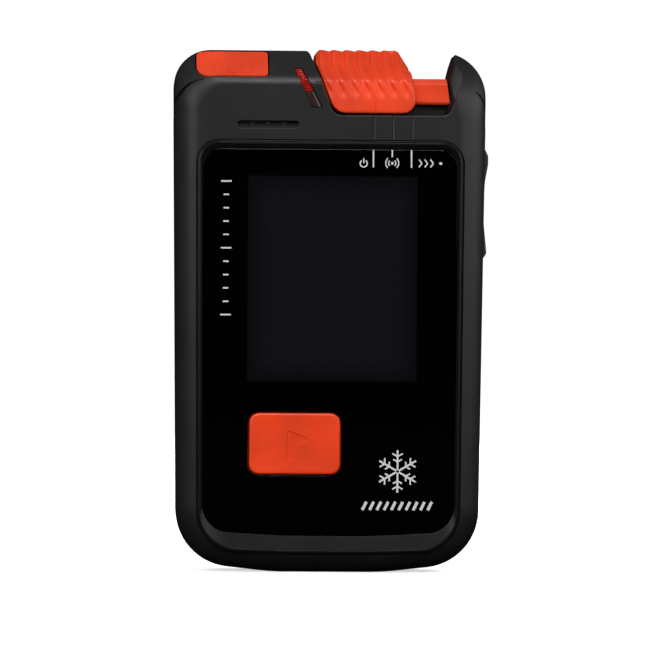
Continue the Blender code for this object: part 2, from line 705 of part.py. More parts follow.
def make_mode_slider():
    """The thumb switch: it leans to the left, wraps the rail and follows the shoulder."""
    slider = plate("mode_slider", slider_outline(), SLIDER_FRONT_Y, SLIDER_BACK_Y, "orange")
    head, neck = RAIL_HALF_HEAD + SLIDER_GAP, RAIL_HALF_NECK + SLIDER_GAP
    along = (-20, 40)
    under, over = 99, 120
    channel_z = (RAIL_HEAD_Z - SLIDER_GAP, RAIL_TOP_Z + SLIDER_GAP)
    cut(slider, slope_box("cut_slider_slope", along, (-20, 30), (-20, -0.35)))
    cut(slider, box("cut_slider_channel", along, (-head, head), channel_z))
    cut(slider, box("cut_slider_slot", along, (-neck, neck), (under, RAIL_HEAD_Z)))
    cut(slider, box("cut_slider_side", (SLIDER_SIDE_X, along[1]), (-head, 20), (under, over)))
    cut(slider, box("cut_spring_seat", (1.8, 12.2), (-2.3, 2.3), (RAIL_TOP_Z, 110.3)))
    cut(slider, box("cut_magnet_seat", (6.7, 13.3), (-11.4, -9.2), (under, 103.4)))
    rear_edge = (0, BACK_Y - 4.0, SLIDER_TOP_Z)
    cut(slider, tilted_box("cut_slider_back", along, (-5, 20), (0, 20), rear_edge, math.radians(-50)))
    box("slider_magnet", (7.0, 13.0), (-11.1, -9.5), (100.6, 103.1), "steel")
    return smooth(slider)


def make_detent_spring():
    """A bent leaf whose nose drops into one of the rail's three grooves."""
    low, high, foot, thick = RAIL_TOP_Z - 0.25, 109.6, 4.6, 0.3
    top = [(-foot, high), (-2.4, high), (-0.5, low), (0.5, low), (2.4, high), (foot, high)]
    leaf = [(DETENT_X + x, z + thick) for x, z in top]
    leaf += [(DETENT_X + x, z) for x, z in reversed(top)]
    return plate("detent_spring", leaf, -1.9, 1.9, "steel")


def make_slider_rail():
    """The guide that the switch rides on, with a groove for each of its three positions."""
    head_half, neck_half = RAIL_HALF_HEAD, RAIL_HALF_NECK
    along = (-6.0, RAIL_END_X)
    rail = box("slider_rail", along, (-head_half, head_half), (RAIL_HEAD_Z, RAIL_TOP_Z), "orange")
    add(rail, box("rail_neck", along, (-neck_half, neck_half), (NOTCH_FLOOR_Z + GAP, RAIL_HEAD_Z + 1)))
    boolean(rail, notch_cutter("keep_rail_in_notch", -GAP), "INTERSECT")
    for i, x in enumerate(RAIL_PEGS_X):
        peg_z = (NOTCH_FLOOR_Z - 0.6, NOTCH_FLOOR_Z + 1.0)
        add(rail, box(f"rail_peg_{i}", (x - 1, x + 1), (-4, -1), peg_z))
    for i in range(3):
        x = DETENT_X + i * SWITCH_STEP
        cut(rail, box(f"cut_detent_{i}", (x - 0.9, x + 0.9), (-2.3, 2.3), (RAIL_TOP_Z - 0.6, RAIL_TOP_Z + 1)))
    return rail


# ================================================================= lock button
def make_lock_button():
    """The shoulder button: flush with the case's skin, on a stem that a spring pushes out."""
    cap = case_skin("lock_button", slot="orange")
    along = (LOCK_LOW, LOCK_HIGH)
    boolean(cap, slope_box("keep_lock_cap", (LOCK_X0, LOCK_X1), along, (-4.0, LOCK_THICKNESS)), "INTERSECT")
    add(cap, rod("lock_stem", STEM_RADIUS, *stem_run(2.0, 8.7), sides=16))
    coil("lock_spring", *stem_run(LOCK_THICKNESS + 0.5, 5.2), 1.95, 0.36, 3, "steel")
    seal = rod("lock_seal", 2.2, *stem_run(5.55, 6.0), "rubber_black")
    cut(seal, rod("cut_lock_seal", STEM_RADIUS + 0.2, *stem_run(5.0, 7.0), sides=16))
    clip = rod("lock_clip", 2.1, *stem_run(7.75, 8.2), "steel")
    cut(clip, rod("cut_lock_clip", STEM_RADIUS + 0.15, *stem_run(7.0, 9.0), sides=16))
    return smooth(cap)


# ================================================================= small parts
def make_lamp_windows():
    """The send lamp's red light guide, and the smoked window below it."""
    y = (FRONT_Y + 0.5, LAMP_BACK_Y)
    guide = plate("send_light_guide", lamp_outline(LAMP_SPLIT, LAMP_HIGH, -0.2), *y, "red_window")
    cut(guide, slope_box("cut_guide_slope", (-20, 20), (-20, 30), (-20, 0.5)))
    plate("lamp_window", lamp_outline(LAMP_LOW, LAMP_SPLIT, -0.2), *y, "smoked_window")
    box("lamp_board", (-11.0, -4.2), (-2.2, -1.4), (97.6, 103.5), "board_green")
    box("send_lamp", (-6.5, -4.5), (-3.9, -2.2 - GAP / 2), (101.2, 103.3), "red_window")


def make_speaker():
    x = (SPEAKER_X - SPEAKER_HALF, SPEAKER_X + SPEAKER_HALF)
    box("speaker_mesh", x, (-9.9, -9.6), (96.5, 99.6), "rubber_black")
    plate("speaker", rectangle(x, (96.5, 104.0), 2.0, 3), -9.3, -6.3, "steel")


def make_side_key(name, heights, high_end):
    """A wedge-shaped key: flush at one end and proud at the other, with a flange inside."""
    low, high = heights
    wall = [key_wall_x(z) for z in heights]
    flush, proud = 0.1, KEY_PROUD
    if high_end == "top":
        crest = [(wall[1] + proud, high - 2.2), (wall[1] + proud * 0.8, high - 0.9)]
        face = [(wall[0] + flush, low), *crest, (wall[1], high)]
    else:
        crest = [(wall[0] + proud * 0.8, low + 0.9), (wall[0] + proud, low + 2.2)]
        face = [(wall[0], low), *crest, (wall[1] + flush, high)]
    inner = 31.5
    outline = [(inner, low), *face, (inner, high)]
    key = plate(name, outline, *KEY_Y, "rubber_black")
    flange_z = (low - 0.9, high + 0.9)
    add(key, box(f"{name}_flange", (30.9, 31.8), (KEY_Y[0] - 0.9, KEY_Y[1] + 0.9), flange_z))
    return smooth(key, 20)


def make_side_switches():
    for name, heights in (("up", KEY_UP_Z), ("down", KEY_DOWN_Z)):
        middle = sum(heights) / 2
        box(f"side_switch_{name}", (25.8, 29.7), (-3.1, -0.1), (middle - 1.3, middle + 1.3), "steel")


# ================================================================= electronics
def make_main_board():
    back = BOARD_FRONT_Y + BOARD_THICKNESS
    low, shoulder = BOARD_Z
    right_side = [(BOARD_HALF, low), (BOARD_HALF, shoulder)]
    right_side += [(BOARD_TAB_HALF, shoulder), (BOARD_TAB_HALF, BOARD_TAB_TOP)]
    left_side = [(-x, z) for x, z in reversed(right_side)]
    outline = rounded([*right_side, *left_side], [3.0, 1.5, 0.8, 1.5, 1.5, 0.8, 1.5, 3.0], 2)
    board = plate("main_board", outline, BOARD_FRONT_Y, back, "board_green")
    for i, (x, z) in enumerate(BOARD_SCREWS):
        cut(board, boss(f"cut_board_{i}", x, z, BOARD_FRONT_Y - 1, back + 1, 1.1))
        screw = rod(f"board_screw_{i + 1}", 0.8, (x, -6.6, z), (x, back + 0.6, z), "steel", 12)
        add(screw, rod(f"board_screw_head_{i}", 1.8, (x, back + GAP, z), (x, back + GAP + 1.1, z), sides=16))
    plate("radio_shield", rectangle((-14.0, 12.0), (77.6, 87.6), 1.0, 2), back + GAP / 2, -1.5, "steel")
    box("processor", (-6.0, 5.0), (back + GAP / 2, -2.2), (64.8, 75.8), "ferrite")
    box("hall_sensor", (8.0, 12.0), (-5.8, BOARD_FRONT_Y - GAP / 2), (93.0, 95.4), "ferrite")


def make_antenna(name, start, end, coil_span):
    """A ferrite rod with a copper winding round its middle."""
    start, end = Vector(start), Vector(end)
    rod(f"{name}_rod", 3.5, start, end, "ferrite", 20)
    low, high = (start.lerp(end, share) for share in coil_span)
    winding = rod(f"{name}_coil", 4.6, low, high, "copper", 24)
    beyond = [start.lerp(end, share) for share in (coil_span[0] - 0.1, coil_span[1] + 0.1)]
    cut(winding, rod(f"cut_{name}_coil", 3.8, *beyond, sides=24))


def make_antennas():
    make_antenna("long_antenna", (-25.3, 3.6, 15.0), (-25.3, 3.6, 87.0), (0.25, 0.75))
    make_antenna("cross_antenna", (-18.0, 3.6, 84.0), (26.0, 3.6, 84.0), (0.25, 0.75))
    make_antenna("short_antenna", (25.2, -2.6, 48.0), (25.2, 9.2, 48.0), (0.15, 0.85))


# ================================================================= battery
def make_cells():
    """Three AAA cells side by side; the middle one points the other way."""
    body = CELL_LENGTH - 0.8
    for i in range(3):
        x = (i - 1) * CELL_PITCH
        up = i != 1
        low = 15.6 if up else 16.4
        cell = rod(f"cell_{i + 1}", CELL_RADIUS, (x, CELL_Y, low), (x, CELL_Y, low + body), "cell_wrap", 24)
        nub = (low + body - 0.1, low + body + 0.8) if up else (low - 0.8, low + 0.1)
        add(cell, rod(f"cell_nub_{i}", 1.9, (x, CELL_Y, nub[0]), (x, CELL_Y, nub[1]), sides=16))
        plate_z = (60.5, 60.9) if up else (14.8, 15.2)
        box(f"contact_plate_{i + 1}", (x - 3.8, x + 3.8), (1.0, 8.5), plate_z, "steel")
        spring_z = (12.9, 15.1) if up else (62.1, 60.4)
        ends = [(x, CELL_Y, z) for z in spring_z]
        coil(f"contact_spring_{i + 1}", *ends, 3.6, 0.5, 2, "steel", 2.0)
        smooth(cell)


def make_battery_door():
    """The back cover: a plate on a hinge barrel, with a round boss for its lock."""
    outline = rectangle((-DOOR_HALF, DOOR_HALF), (HINGE_Z, DOOR_TOP_Z), 1.3, 3)
    inner = BACK_Y - DOOR_THICKNESS
    door = plate("battery_door", outline, inner, BACK_Y, "case_black")
    for side in (-1, 1):
        x = sorted((side * BARREL_HALF, side * (DOOR_HALF + 1)))
        cut(door, box(f"cut_door_corner_{side}", x, (inner - 1, BACK_Y + 1), (0, HINGE_Z + 2.4)))
    axis = (HINGE_Y, HINGE_Z)
    add(door, rod("door_barrel", BARREL_RADIUS, (-BARREL_HALF, *axis), (BARREL_HALF, *axis), sides=24))
    ends = [(side * (BARREL_HALF + 1), *axis) for side in (-1, 1)]
    cut(door, rod("cut_door_pin", PIN_RADIUS + 0.2, *ends, sides=16))
    boss_ends = [(0, y, LOCK_DISC_Z) for y in (9.4, inner + 0.5)]
    add(door, rod("door_lock_boss", LOCK_BOSS_RADIUS, *boss_ends, sides=28))
    seat_ends = [(0, y, LOCK_DISC_Z) for y in (10.6, BACK_Y + 1)]
    cut(door, rod("cut_lock_seat", LOCK_DISC_RADIUS + GAP, *seat_ends, sides=32))
    cut(door, rod("cut_lock_shaft", 2.6, (0, 8, LOCK_DISC_Z), (0, 11, LOCK_DISC_Z), sides=20))
    rod("door_hinge_pin", PIN_RADIUS, (-DOOR_HALF + 0.2, *axis), (DOOR_HALF - 0.2, *axis), "steel", 16)
    return smooth(door)


def make_door_seal():
    y = (RECESS_FLOOR_Y + GAP, BACK_Y - DOOR_THICKNESS - GAP)
    outer = rectangle((-BAY_HALF - 1.1, BAY_HALF + 1.1), (BAY_LOW_Z - 1.1, BAY_HIGH_Z + 1.0), 1.5, 3)
    inner = rectangle((-BAY_HALF - 0.1, BAY_HALF + 0.1), (BAY_LOW_Z - 0.1, BAY_HIGH_Z + 0.1), 0.6, 3)
    seal = plate("door_seal", outer, *y, "rubber_black")
    cut(seal, plate("cut_door_seal", inner, y[0] - 1, y[1] + 1))
    return seal


def make_battery_lock():
    """A quarter-turn lock: a slotted disc outside, a shaft, and a cam behind the door."""
    middle = (0, LOCK_DISC_Z)

    def along_y(name, radius, y0, y1, slot=None, sides=24):
        return rod(name, radius, (middle[0], y0, middle[1]), (middle[0], y1, middle[1]), slot, sides)

    lock = along_y("battery_lock", LOCK_DISC_RADIUS, 10.9, BACK_Y, "case_black", 32)
    add(lock, along_y("lock_shaft", 2.2, 7.6, 11.2))
    cut(lock, box("cut_coin_slot", (-3.9, 3.9), (11.2, BACK_Y + 1), (LOCK_DISC_Z - 0.65, LOCK_DISC_Z + 0.65)))
    cam_outline = rectangle((-3.4, 3.4), (LOCK_DISC_Z - 3.4, LOCK_DISC_Z + 5.4), 1.5, 3)
    cam = plate("lock_cam", cam_outline, 7.7, 8.9, "steel")
    cut(cam, along_y("cut_lock_cam", 2.4, 7.0, 9.5))
    return smooth(lock)


def make_fasteners():
    for i, (x, z) in enumerate(CASE_SCREWS):
        screw = rod(f"case_screw_{i + 1}", 1.0, (x, -2.4, z), (x, 9.4, z), "steel", 14)
        add(screw, rod(f"screw_head_{i}", 2.0, (x, 8.9, z), (x, 10.6, z), sides=20))
        cut(screw, rod(f"cut_screw_drive_{i}", 0.9, (x, 9.7, z), (x, 11.5, z), sides=6))
        smooth(screw)
    middle = sum(LEASH_Z) / 2
    ends = [(x, LEASH_PIN_Y, middle) for x in (LEASH_X[0] - 0.9, LEASH_X[1] + 0.9)]
    smooth(rod("leash_pin", LEASH_PIN_RADIUS, *ends, "steel", 16))


clear_scene()
PARTS = make_collection("avalanche_transceiver")
CUTTERS = make_collection("cutters")
MATERIALS = {slot: make_material(slot) for slot in COLOURS}

make_front_housing()
make_rear_housing()
make_housing_gasket()
make_front_bezel()
make_display_lens()
make_lens_gasket()
make_display()
make_flag_button()
make_mode_slider()
make_detent_spring()
make_slider_rail()
make_lock_button()
make_lamp_windows()
make_speaker()
make_side_key("side_key_up", KEY_UP_Z, "top")
make_side_key("side_key_down", KEY_DOWN_Z, "base")
make_side_switches()
make_main_board()
make_antennas()
make_cells()
make_battery_door()
make_door_seal()
make_battery_lock()
make_fasteners()
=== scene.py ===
"""The looks of the avalanche transceiver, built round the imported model.

Lengths are in millimetres in the model's own frame: X to the right as seen from the
front, Y from the front to the back, Z up from the flat base. The helpers turn them
into metres when they make a mesh.
"""

import math

import bmesh
import bpy
import numpy as np
from mathutils import Matrix, Vector


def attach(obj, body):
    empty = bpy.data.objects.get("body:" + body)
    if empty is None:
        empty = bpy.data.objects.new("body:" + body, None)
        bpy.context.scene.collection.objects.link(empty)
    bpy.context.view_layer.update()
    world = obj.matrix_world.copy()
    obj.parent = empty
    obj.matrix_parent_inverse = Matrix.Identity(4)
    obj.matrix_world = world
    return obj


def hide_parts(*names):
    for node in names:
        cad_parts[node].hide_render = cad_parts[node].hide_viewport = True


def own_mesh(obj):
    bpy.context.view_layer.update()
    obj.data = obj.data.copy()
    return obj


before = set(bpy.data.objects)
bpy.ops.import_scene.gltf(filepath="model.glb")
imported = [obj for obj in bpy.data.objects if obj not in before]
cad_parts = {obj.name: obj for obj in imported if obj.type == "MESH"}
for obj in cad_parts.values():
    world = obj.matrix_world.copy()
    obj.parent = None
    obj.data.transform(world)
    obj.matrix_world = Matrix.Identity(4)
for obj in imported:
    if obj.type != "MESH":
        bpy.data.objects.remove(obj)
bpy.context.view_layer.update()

MM = 0.001
CREASE = math.radians(50)  # edges sharper than this show as creases

# ---- the case
HEIGHT = 113.75
FRONT_Y, BACK_Y = -12.0, 12.0
HALF_WIDTH_TOP, HALF_WIDTH_BASE = 34.2, 33.0
PARTING_Y = 3.0
PARTING_GAP, SEAM_EDGE = 0.06, 0.25
WALL = 1.8
GAP = 0.3  # round the keys and the lock button
ROOM_CORNER, ROOM_TOP_Z = 14.5, 96.9
CORNER_TOP, HORN_CORNER, CORNER_BASE = 8.0, 10.0, 12.5
BASE_FLAT_HALF, BASE_LIFT = 12.0, 2.3  # the base is flat in its middle and rises to its corners
SHOULDER_Z = 107.05
BROW_RADIUS = 1.1
SLOPE_RISE = HEIGHT - SHOULDER_Z
ROLL_DEPTH, SIDE_ROLL, BASE_ROLL, BACK_ROLL = 7.0, 6.5, 5.5, 5.0
SLOPE_LENGTH = math.hypot(SLOPE_RISE, ROLL_DEPTH)
SLOPE_UP = Vector((0, ROLL_DEPTH, SLOPE_RISE)) / SLOPE_LENGTH
SLOPE_OUT = Vector((0, -SLOPE_RISE, ROLL_DEPTH)) / SLOPE_LENGTH
SLOPE_ANGLE = math.atan2(SLOPE_RISE, ROLL_DEPTH)

# ---- window and display
LENS_TOP, LENS_BASE = 92.2, 8.1
LENS_HALF_TOP, LENS_HALF_BASE = 27.9, 27.3
LENS_FRONT_Y, LENS_BACK_Y = -11.1, -9.8
BEZEL_SIDE, BEZEL_TOP, BEZEL_BASE = 1.2, 1.7, 3.9
BEZEL_BACK_Y = -9.7
PLATE_FRONT_Y, PLATE_BACK_Y = -8.8, -7.4
DISPLAY_X, DISPLAY_Z = (-18.05, 19.15), (41.5, 86.4)  # the field that shows through the lens
FLAG_X, FLAG_Z = (-17.35, 2.55), (21.4, 34.8)
FLAG_CORNER = 2.2
FLAG_FRONT_Y = -11.6

# ---- mode switch
NOTCH_FLOOR_Z = 99.5
RAIL_TOP_Z, RAIL_HEAD_Z = 107.7, 102.1
RAIL_HALF_HEAD, RAIL_HALF_NECK = 8.5, 5.0
SLIDER_BASE_Z, SLIDER_TOP_Z = 99.9, 114.0
SLIDER_FRONT_Y, SLIDER_BACK_Y = -12.4, 12.2
SLIDER_SIDE_X = 16.9  # the right side behind its front wall
SLIDER_FOOT_EDGE = 0.5
SLIDER_LIFT = 0.35  # how far the slider stands proud of the shoulder
RIDGE_PITCH = 2.78
RIDGE_HEIGHT = 0.52
RIDGE_END_Z = 102.6
MARKS_X = (9.3, 13.4, 17.6)

# ---- lock button, keys, lamp
LOCK_X = (-29.2, -13.7)
LOCK_ALONG = (1.3, 9.2)
LOCK_THICKNESS, LOCK_POCKET = 2.2, 3.6
STEM_X, STEM_ALONG = -21.25, 5.0
KEY_UP_Z, KEY_DOWN_Z = (82.9, 92.7), (68.7, 77.4)
KEY_Y = (-4.6, 1.2)
KEY_PROUD = 0.85
SPEAKER_X, SPEAKER_Z = (-20.3, -6.9), (96.5, 98.1)
SLIT_COUNT, SLIT_WIDTH, SLIT_PITCH, SLIT_Z = 4, 2.75, 3.4, (96.95, 97.9)
LAMP_LOW, LAMP_SPLIT, LAMP_HIGH = 101.1, 104.5, 109.8

# ---- battery side
BAY_HALF, BAY_LOW_Z, BAY_HIGH_Z = 17.3, 12.5, 62.5
BAY_FLOOR_Y = -0.8
BAY_WALL = 1.2
DOOR_HALF, DOOR_TOP_Z, DOOR_THICKNESS = 19.0, 75.0, 1.5
HINGE_Y, HINGE_Z = 10.6, 8.2
BARREL_RADIUS, BARREL_HALF, PIN_RADIUS = 1.4, 15.2, 0.6
RECESS_FLOOR_Y = 9.0
LOCK_DISC_Z, LOCK_DISC_RADIUS, LOCK_BOSS_RADIUS = 69.5, 4.6, 5.5
LEASH_X, LEASH_Z, LEASH_FLOOR_Y = (-24.0, -10.0), (91.5, 104.5), 6.0
LEASH_PIN_Y, LEASH_PIN_RADIUS = 9.6, 1.0
CASE_SCREWS = ((-26.8, 92.2), (26.8, 92.2), (-24.4, 10.4), (24.4, 10.4))
CELL_RADIUS, CELL_LENGTH, CELL_PITCH, CELL_Y = 5.25, 43.7, 11.2, 4.75
CELL_FOOT_Z, CELL_HEAD_Z = 15.6, 16.4 + CELL_LENGTH  # where cells that stand up or hang down start

# ---- the studio
VIEW_WIDTH, VIEW_DISTANCE = 0.1427, 1.0  # metres
VIEW_AZIMUTH, VIEW_ROLL = math.radians(-2.3), math.radians(0.4)
VIEW_TARGET = Vector((-0.53, 0, 53.9)) * MM
WORLD_FILL = (0.03, 0.22)  # at the horizon and overhead
GLOSS_ABOVE, GLOSS_LEFT, GLOSS_RIGHT = 0.06, 0.1, 0.12
LIGHTS = (
    # name, place, width and height in metres, power in watts
    ("overhead", (0.0, 0.1, 0.9), (0.9, 0.9), 0.4),
    ("front", (-0.05, -1.1, 0.42), (0.6, 0.4), 10.2),
    ("left_strip", (-0.55, -0.75, 0.3), (0.15, 0.7), 1.7),
    ("right_strip", (0.6, -0.05, 0.35), (0.2, 0.5), 0.5),
    ("fold_gloss", (0.0, -0.62, 0.85), (0.5, 0.1), 5.0),
    ("left_gloss", (-0.22, -0.18, 0.18), (0.14, 0.2), 0.26),
    ("right_gloss", (0.24, -0.12, 0.17), (0.5, 0.2), 0.5),
    ("back_fill", (0.3, 0.9, 0.5), (0.8, 0.6), 12.0),
)


# ---- outlines
def rounded(corners, radii, steps=12):
    """A closed outline through corners, each rounded with an arc of its radius."""
    points = []
    count = len(corners)
    for i, radius in enumerate(radii):
        here = Vector(corners[i])
        to_last = (Vector(corners[i - 1]) - here).normalized()
        to_next = (Vector(corners[(i + 1) % count]) - here).normalized()
        half = to_last.angle(to_next) / 2
        centre = here + (to_last + to_next).normalized() * radius / math.sin(half)
        first = here + to_last * radius / math.tan(half) - centre
        swing = first.angle_signed(here + to_next * radius / math.tan(half) - centre)
        for k in range(steps + 1):
            spoke = Vector(first)
            spoke.rotate(Matrix.Rotation(-swing * k / steps, 2))
            points.append(tuple(centre + spoke))
    return points


def rectangle(x, z, radius, grow=0.0, steps=8):
    low, high = (x[0] - grow, z[0] - grow), (x[1] + grow, z[1] + grow)
    corners = [low, (high[0], low[1]), high, (low[0], high[1])]
    return rounded(corners, [max(radius + grow, 0.02)] * 4, steps)


def tapered(half_top, half_base, low, high, radius_top, radius_base):
    """A rounded outline that is wider at its top than at its base."""
    corners = [(-half_base, low), (half_base, low), (half_top, high), (-half_top, high)]
    return rounded(corners, [radius_base, radius_base, radius_top, radius_top], 14)


def window_outline(side, top, base, lift, radius_top, radius_base):
    """An outline round the lens, grown by side, top and base; its base bows down in the middle."""
    flat, bow_radius = 9.0, 60.0
    half_top, half_base = LENS_HALF_TOP + side, LENS_HALF_BASE + side
    low, high = LENS_BASE - base, LENS_TOP + top
    corners = [(-flat, low), (flat, low), (half_base, low + lift), (half_top, high),
               (-half_top, high), (-half_base, low + lift)]
    return rounded(corners, [bow_radius, bow_radius, radius_base, radius_top, radius_top, radius_base], 14)


def bezel_outline(grow=0.0):
    return window_outline(BEZEL_SIDE + grow, BEZEL_TOP + grow, BEZEL_BASE + grow, 0.6, 5.0 + grow, 9.0 + grow)


def lens_outline(grow=0.0):
    return window_outline(grow, grow, grow, 1.0, 4.2 + grow, 6.0 + grow)


def flag_outline(grow=0.0):
    return rectangle(FLAG_X, FLAG_Z, FLAG_CORNER, grow)


def lock_outline(grow=0.0):
    """The lock button in the shoulder's plane; its corner next to the rolled side is fuller."""
    (left, right), (low, high) = LOCK_X, LOCK_ALONG
    corners = [(left - grow, low - grow), (right + grow, low - grow),
               (right + grow, high + grow), (left - grow, high + grow)]
    return rounded(corners, [3.6 + grow, 0.9 + grow, 0.9 + grow, 0.9 + grow], 8)


def lamp_edges(z):
    """The lamp slot's left and right edge at a height: it bows a little and widens downwards."""
    down = (LAMP_HIGH - z) / (LAMP_HIGH - LAMP_LOW)
    left = -8.2 + 3.9 * down
    return left + 0.1, left + 1.9 + 0.7 * down


def lamp_outline(low, high, grow=0.0):
    """The slanted lamp slot between two heights; it leans like the switch beside it."""
    (low_left, low_right), (high_left, high_right) = lamp_edges(low), lamp_edges(high)
    corners = [(low_left - grow, low - grow), (low_right + grow, low - grow),
               (high_right + grow, high + grow), (high_left - grow, high + grow)]
    return rounded(corners, [0.25] * 4, 3)


def key_wall_x(z):
    return HALF_WIDTH_BASE + (HALF_WIDTH_TOP - HALF_WIDTH_BASE) * z / HEIGHT


def on_slope(x, along, into):
    """A point at x, along the shoulder from the front face's edge, and into the case."""
    return Vector((x, FRONT_Y, SHOULDER_Z)) + SLOPE_UP * along - SLOPE_OUT * into


# ---- mesh helpers
def in_scene(name, data):
    made = bpy.data.objects.new(name, data)
    bpy.context.scene.collection.objects.link(made)
    return made


def at_depth(y, outline):
    return [(x, y, z) for x, z in outline]


def from_bmesh(name, work):
    bmesh.ops.recalc_face_normals(work, faces=work.faces)
    mesh = bpy.data.meshes.new(name)
    work.to_mesh(mesh)
    work.free()
    return in_scene(name, mesh)


def loft(name, sections, ring=False):
    """A solid through sections of equal length; a ring joins its last section to its first."""
    work = bmesh.new()
    loops = [[work.verts.new(Vector(point) * MM) for point in section] for section in sections]
    count = len(loops[0])
    pairs = list(zip(loops, loops[1:]))
    if ring:
        pairs.append((loops[-1], loops[0]))
    for near, far in pairs:
        for i in range(count):
            j = (i + 1) % count
            work.faces.new((near[i], near[j], far[j], far[i]))
    if not ring:
        work.faces.new(reversed(loops[0]))
        work.faces.new(loops[-1])
    return from_bmesh(name, work)


def quarter(steps):
    """(run, rise) along a quarter circle of radius 1: from (0, 1) at its start to (1, 0)."""
    angles = [math.pi / 2 * k / steps for k in range(steps + 1)]
    return [(1 - math.cos(angle), 1 - math.sin(angle)) for angle in angles]


def slab(name, shape, y0, y1, front=0.0, back=0.0, steps=4):
    """A flat piece; shape(grow) is its outline, and its front and back edges are rounded."""
    near = [(y0 + front * run, -front * rise) for run, rise in quarter(steps)] if front else [(y0, 0.0)]
    far = [(y1 - back * run, -back * rise) for run, rise in quarter(steps)] if back else [(y1, 0.0)]
    return loft(name, [at_depth(y, shape(grow)) for y, grow in [*near, *reversed(far)]])


def flared(name, shape, y0, y1, lip):
    """A cutter whose mouth at y0 opens out in a rounded lip."""
    sections = [(y0 - 2.0, lip)]
    sections += [(y0 + lip * run, lip * rise) for run, rise in quarter(4)]
    sections.append((y1, 0.0))
    return loft(name, [at_depth(y, shape(grow)) for y, grow in sections])


def box(name, x, y, z):
    work = bmesh.new()
    bmesh.ops.create_cube(work, size=1)
    for vert in work.verts:
        for axis, (low, high) in enumerate((x, y, z)):
            vert.co[axis] = (low + (vert.co[axis] + 0.5) * (high - low)) * MM
    return from_bmesh(name, work)


def rod(name, radius, start, end, sides=40, end_radius=None):
    start, end = Vector(start) * MM, Vector(end) * MM
    work = bmesh.new()
    bmesh.ops.create_cone(
        work, cap_ends=True, segments=sides, radius1=radius * MM,
        radius2=(radius if end_radius is None else end_radius) * MM, depth=(end - start).length,
    )
    turn = (end - start).to_track_quat("Z", "Y").to_matrix().to_4x4()
    work.transform(Matrix.Translation((start + end) / 2) @ turn)
    return from_bmesh(name, work)


def on_shoulder(name, shape, low, high):
    """A slab that lies on the shoulder; shape(grow) is in X and along the slope, low and high above it."""
    made = slab(name, shape, -high, -low)
    made.data.transform(Matrix.Translation(Vector((0, FRONT_Y, SHOULDER_Z)) * MM)
                        @ Matrix.Rotation(SLOPE_ANGLE, 4, "X") @ Matrix.Rotation(-math.pi / 2, 4, "X"))
    return made


def settle(obj):
    """Applies a piece's modifiers."""
    graph = bpy.context.evaluated_depsgraph_get()
    mesh = bpy.data.meshes.new_from_object(obj.evaluated_get(graph))
    obj.modifiers.clear()
    old = obj.data
    obj.data = mesh
    bpy.data.meshes.remove(old)
    return obj


def boolean(obj, others, operation):
    for other in others:
        step = obj.modifiers.new("cut", "BOOLEAN")
        step.operation = operation
        step.object = other
        step.solver = "EXACT"
        settle(obj)
        bpy.data.objects.remove(other)
    return obj


def cut(obj, *others):
    return boolean(obj, others, "DIFFERENCE")


def add(obj, *others):
    return boolean(obj, others, "UNION")


def soften(obj, width, degrees=38, segments=2):
    """Rounds a piece's hard edges, and shades it smooth with its flats and creases kept."""
    if width:
        bevel = obj.modifiers.new("edges", "BEVEL")
        bevel.width = width * MM
        bevel.segments = segments
        bevel.limit_method = "ANGLE"
        bevel.angle_limit = math.radians(degrees)
        bevel.use_clamp_overlap = True
        settle(obj)
    work = bmesh.new()
    work.from_mesh(obj.data)
    bmesh.ops.dissolve_degenerate(work, dist=1e-6, edges=work.edges)
    for edge in work.edges:
        edge.smooth = edge.is_manifold and edge.calc_face_angle() < CREASE
    for face in work.faces:
        face.smooth = True
    work.to_mesh(obj.data)
    work.free()
    weight = obj.modifiers.new("flats", "WEIGHTED_NORMAL")
    weight.keep_sharp = True
    return obj


def piece(obj, name, material, body, *nodes, slot=None):
    """Names a finished piece, gives it its material and body, and lets it stand for nodes."""
    obj.name = name
    obj.data.name = name
    obj.data.materials.clear()
    obj.data.materials.append(material)
    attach(obj, body)
    if nodes:
        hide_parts(*nodes)
    return obj


# ---- the case
def case_section(y, side, base, top, spread, inset=0.0):
    """The case's outline at one depth, drawn in by side, base and top; spread is 1 at full size."""
    half_top, half_base = (half - side - inset for half in (HALF_WIDTH_TOP, HALF_WIDTH_BASE))
    low, high = base + inset, HEIGHT - top - inset
    lift = BASE_LIFT * (0.3 + 0.7 * spread)
    corners = [(-BASE_FLAT_HALF, low), (BASE_FLAT_HALF, low), (half_base, low + lift), (half_top, high),
               (-half_top, high), (-half_base, low + lift)]
    drawn = 2.5 * (1 - spread) + inset
    base_radius = CORNER_BASE - 3.0 * (1 - spread) - inset
    radii = [60.0, 60.0, base_radius, HORN_CORNER - drawn, CORNER_TOP - drawn, base_radius]
    return at_depth(y, rounded(corners, radii, 14))


def brow(back):
    """How far the edge between the face and the shoulder is drawn down where it is rounded."""
    depth = min(back * ROLL_DEPTH / BROW_RADIUS, 1.0)
    return BROW_RADIUS * (1 - math.sqrt(1 - (1 - depth) ** 2))


def chin(back):
    """How far the base is drawn up at a depth: it falls away steeply from the face."""
    rise = 1 - back
    return BASE_ROLL * (0.7 * rise ** 1.6 + 0.3 * (1 - math.sqrt(1 - rise * rise)))


def front_sections(top_of, seam_y):
    """The rolled front, from its face back to the seam, where the edge turns in a little."""
    steps = 18
    sections = []
    for k in range(steps + 1):
        angle = math.pi / 2 * k / steps
        drawn_in, back = 1 - math.sin(angle), 1 - math.cos(angle)
        y = FRONT_Y + ROLL_DEPTH * back
        sections.append(case_section(y, SIDE_ROLL * drawn_in, chin(back), top_of(back), 1 - drawn_in))
    edge = SEAM_EDGE
    for turned_in, y in ((0.0, seam_y - edge), (edge * 0.3, seam_y - edge * 0.3), (edge, seam_y)):
        sections.append(case_section(y, 0, 0, top_of(1), 1, turned_in))
    return sections


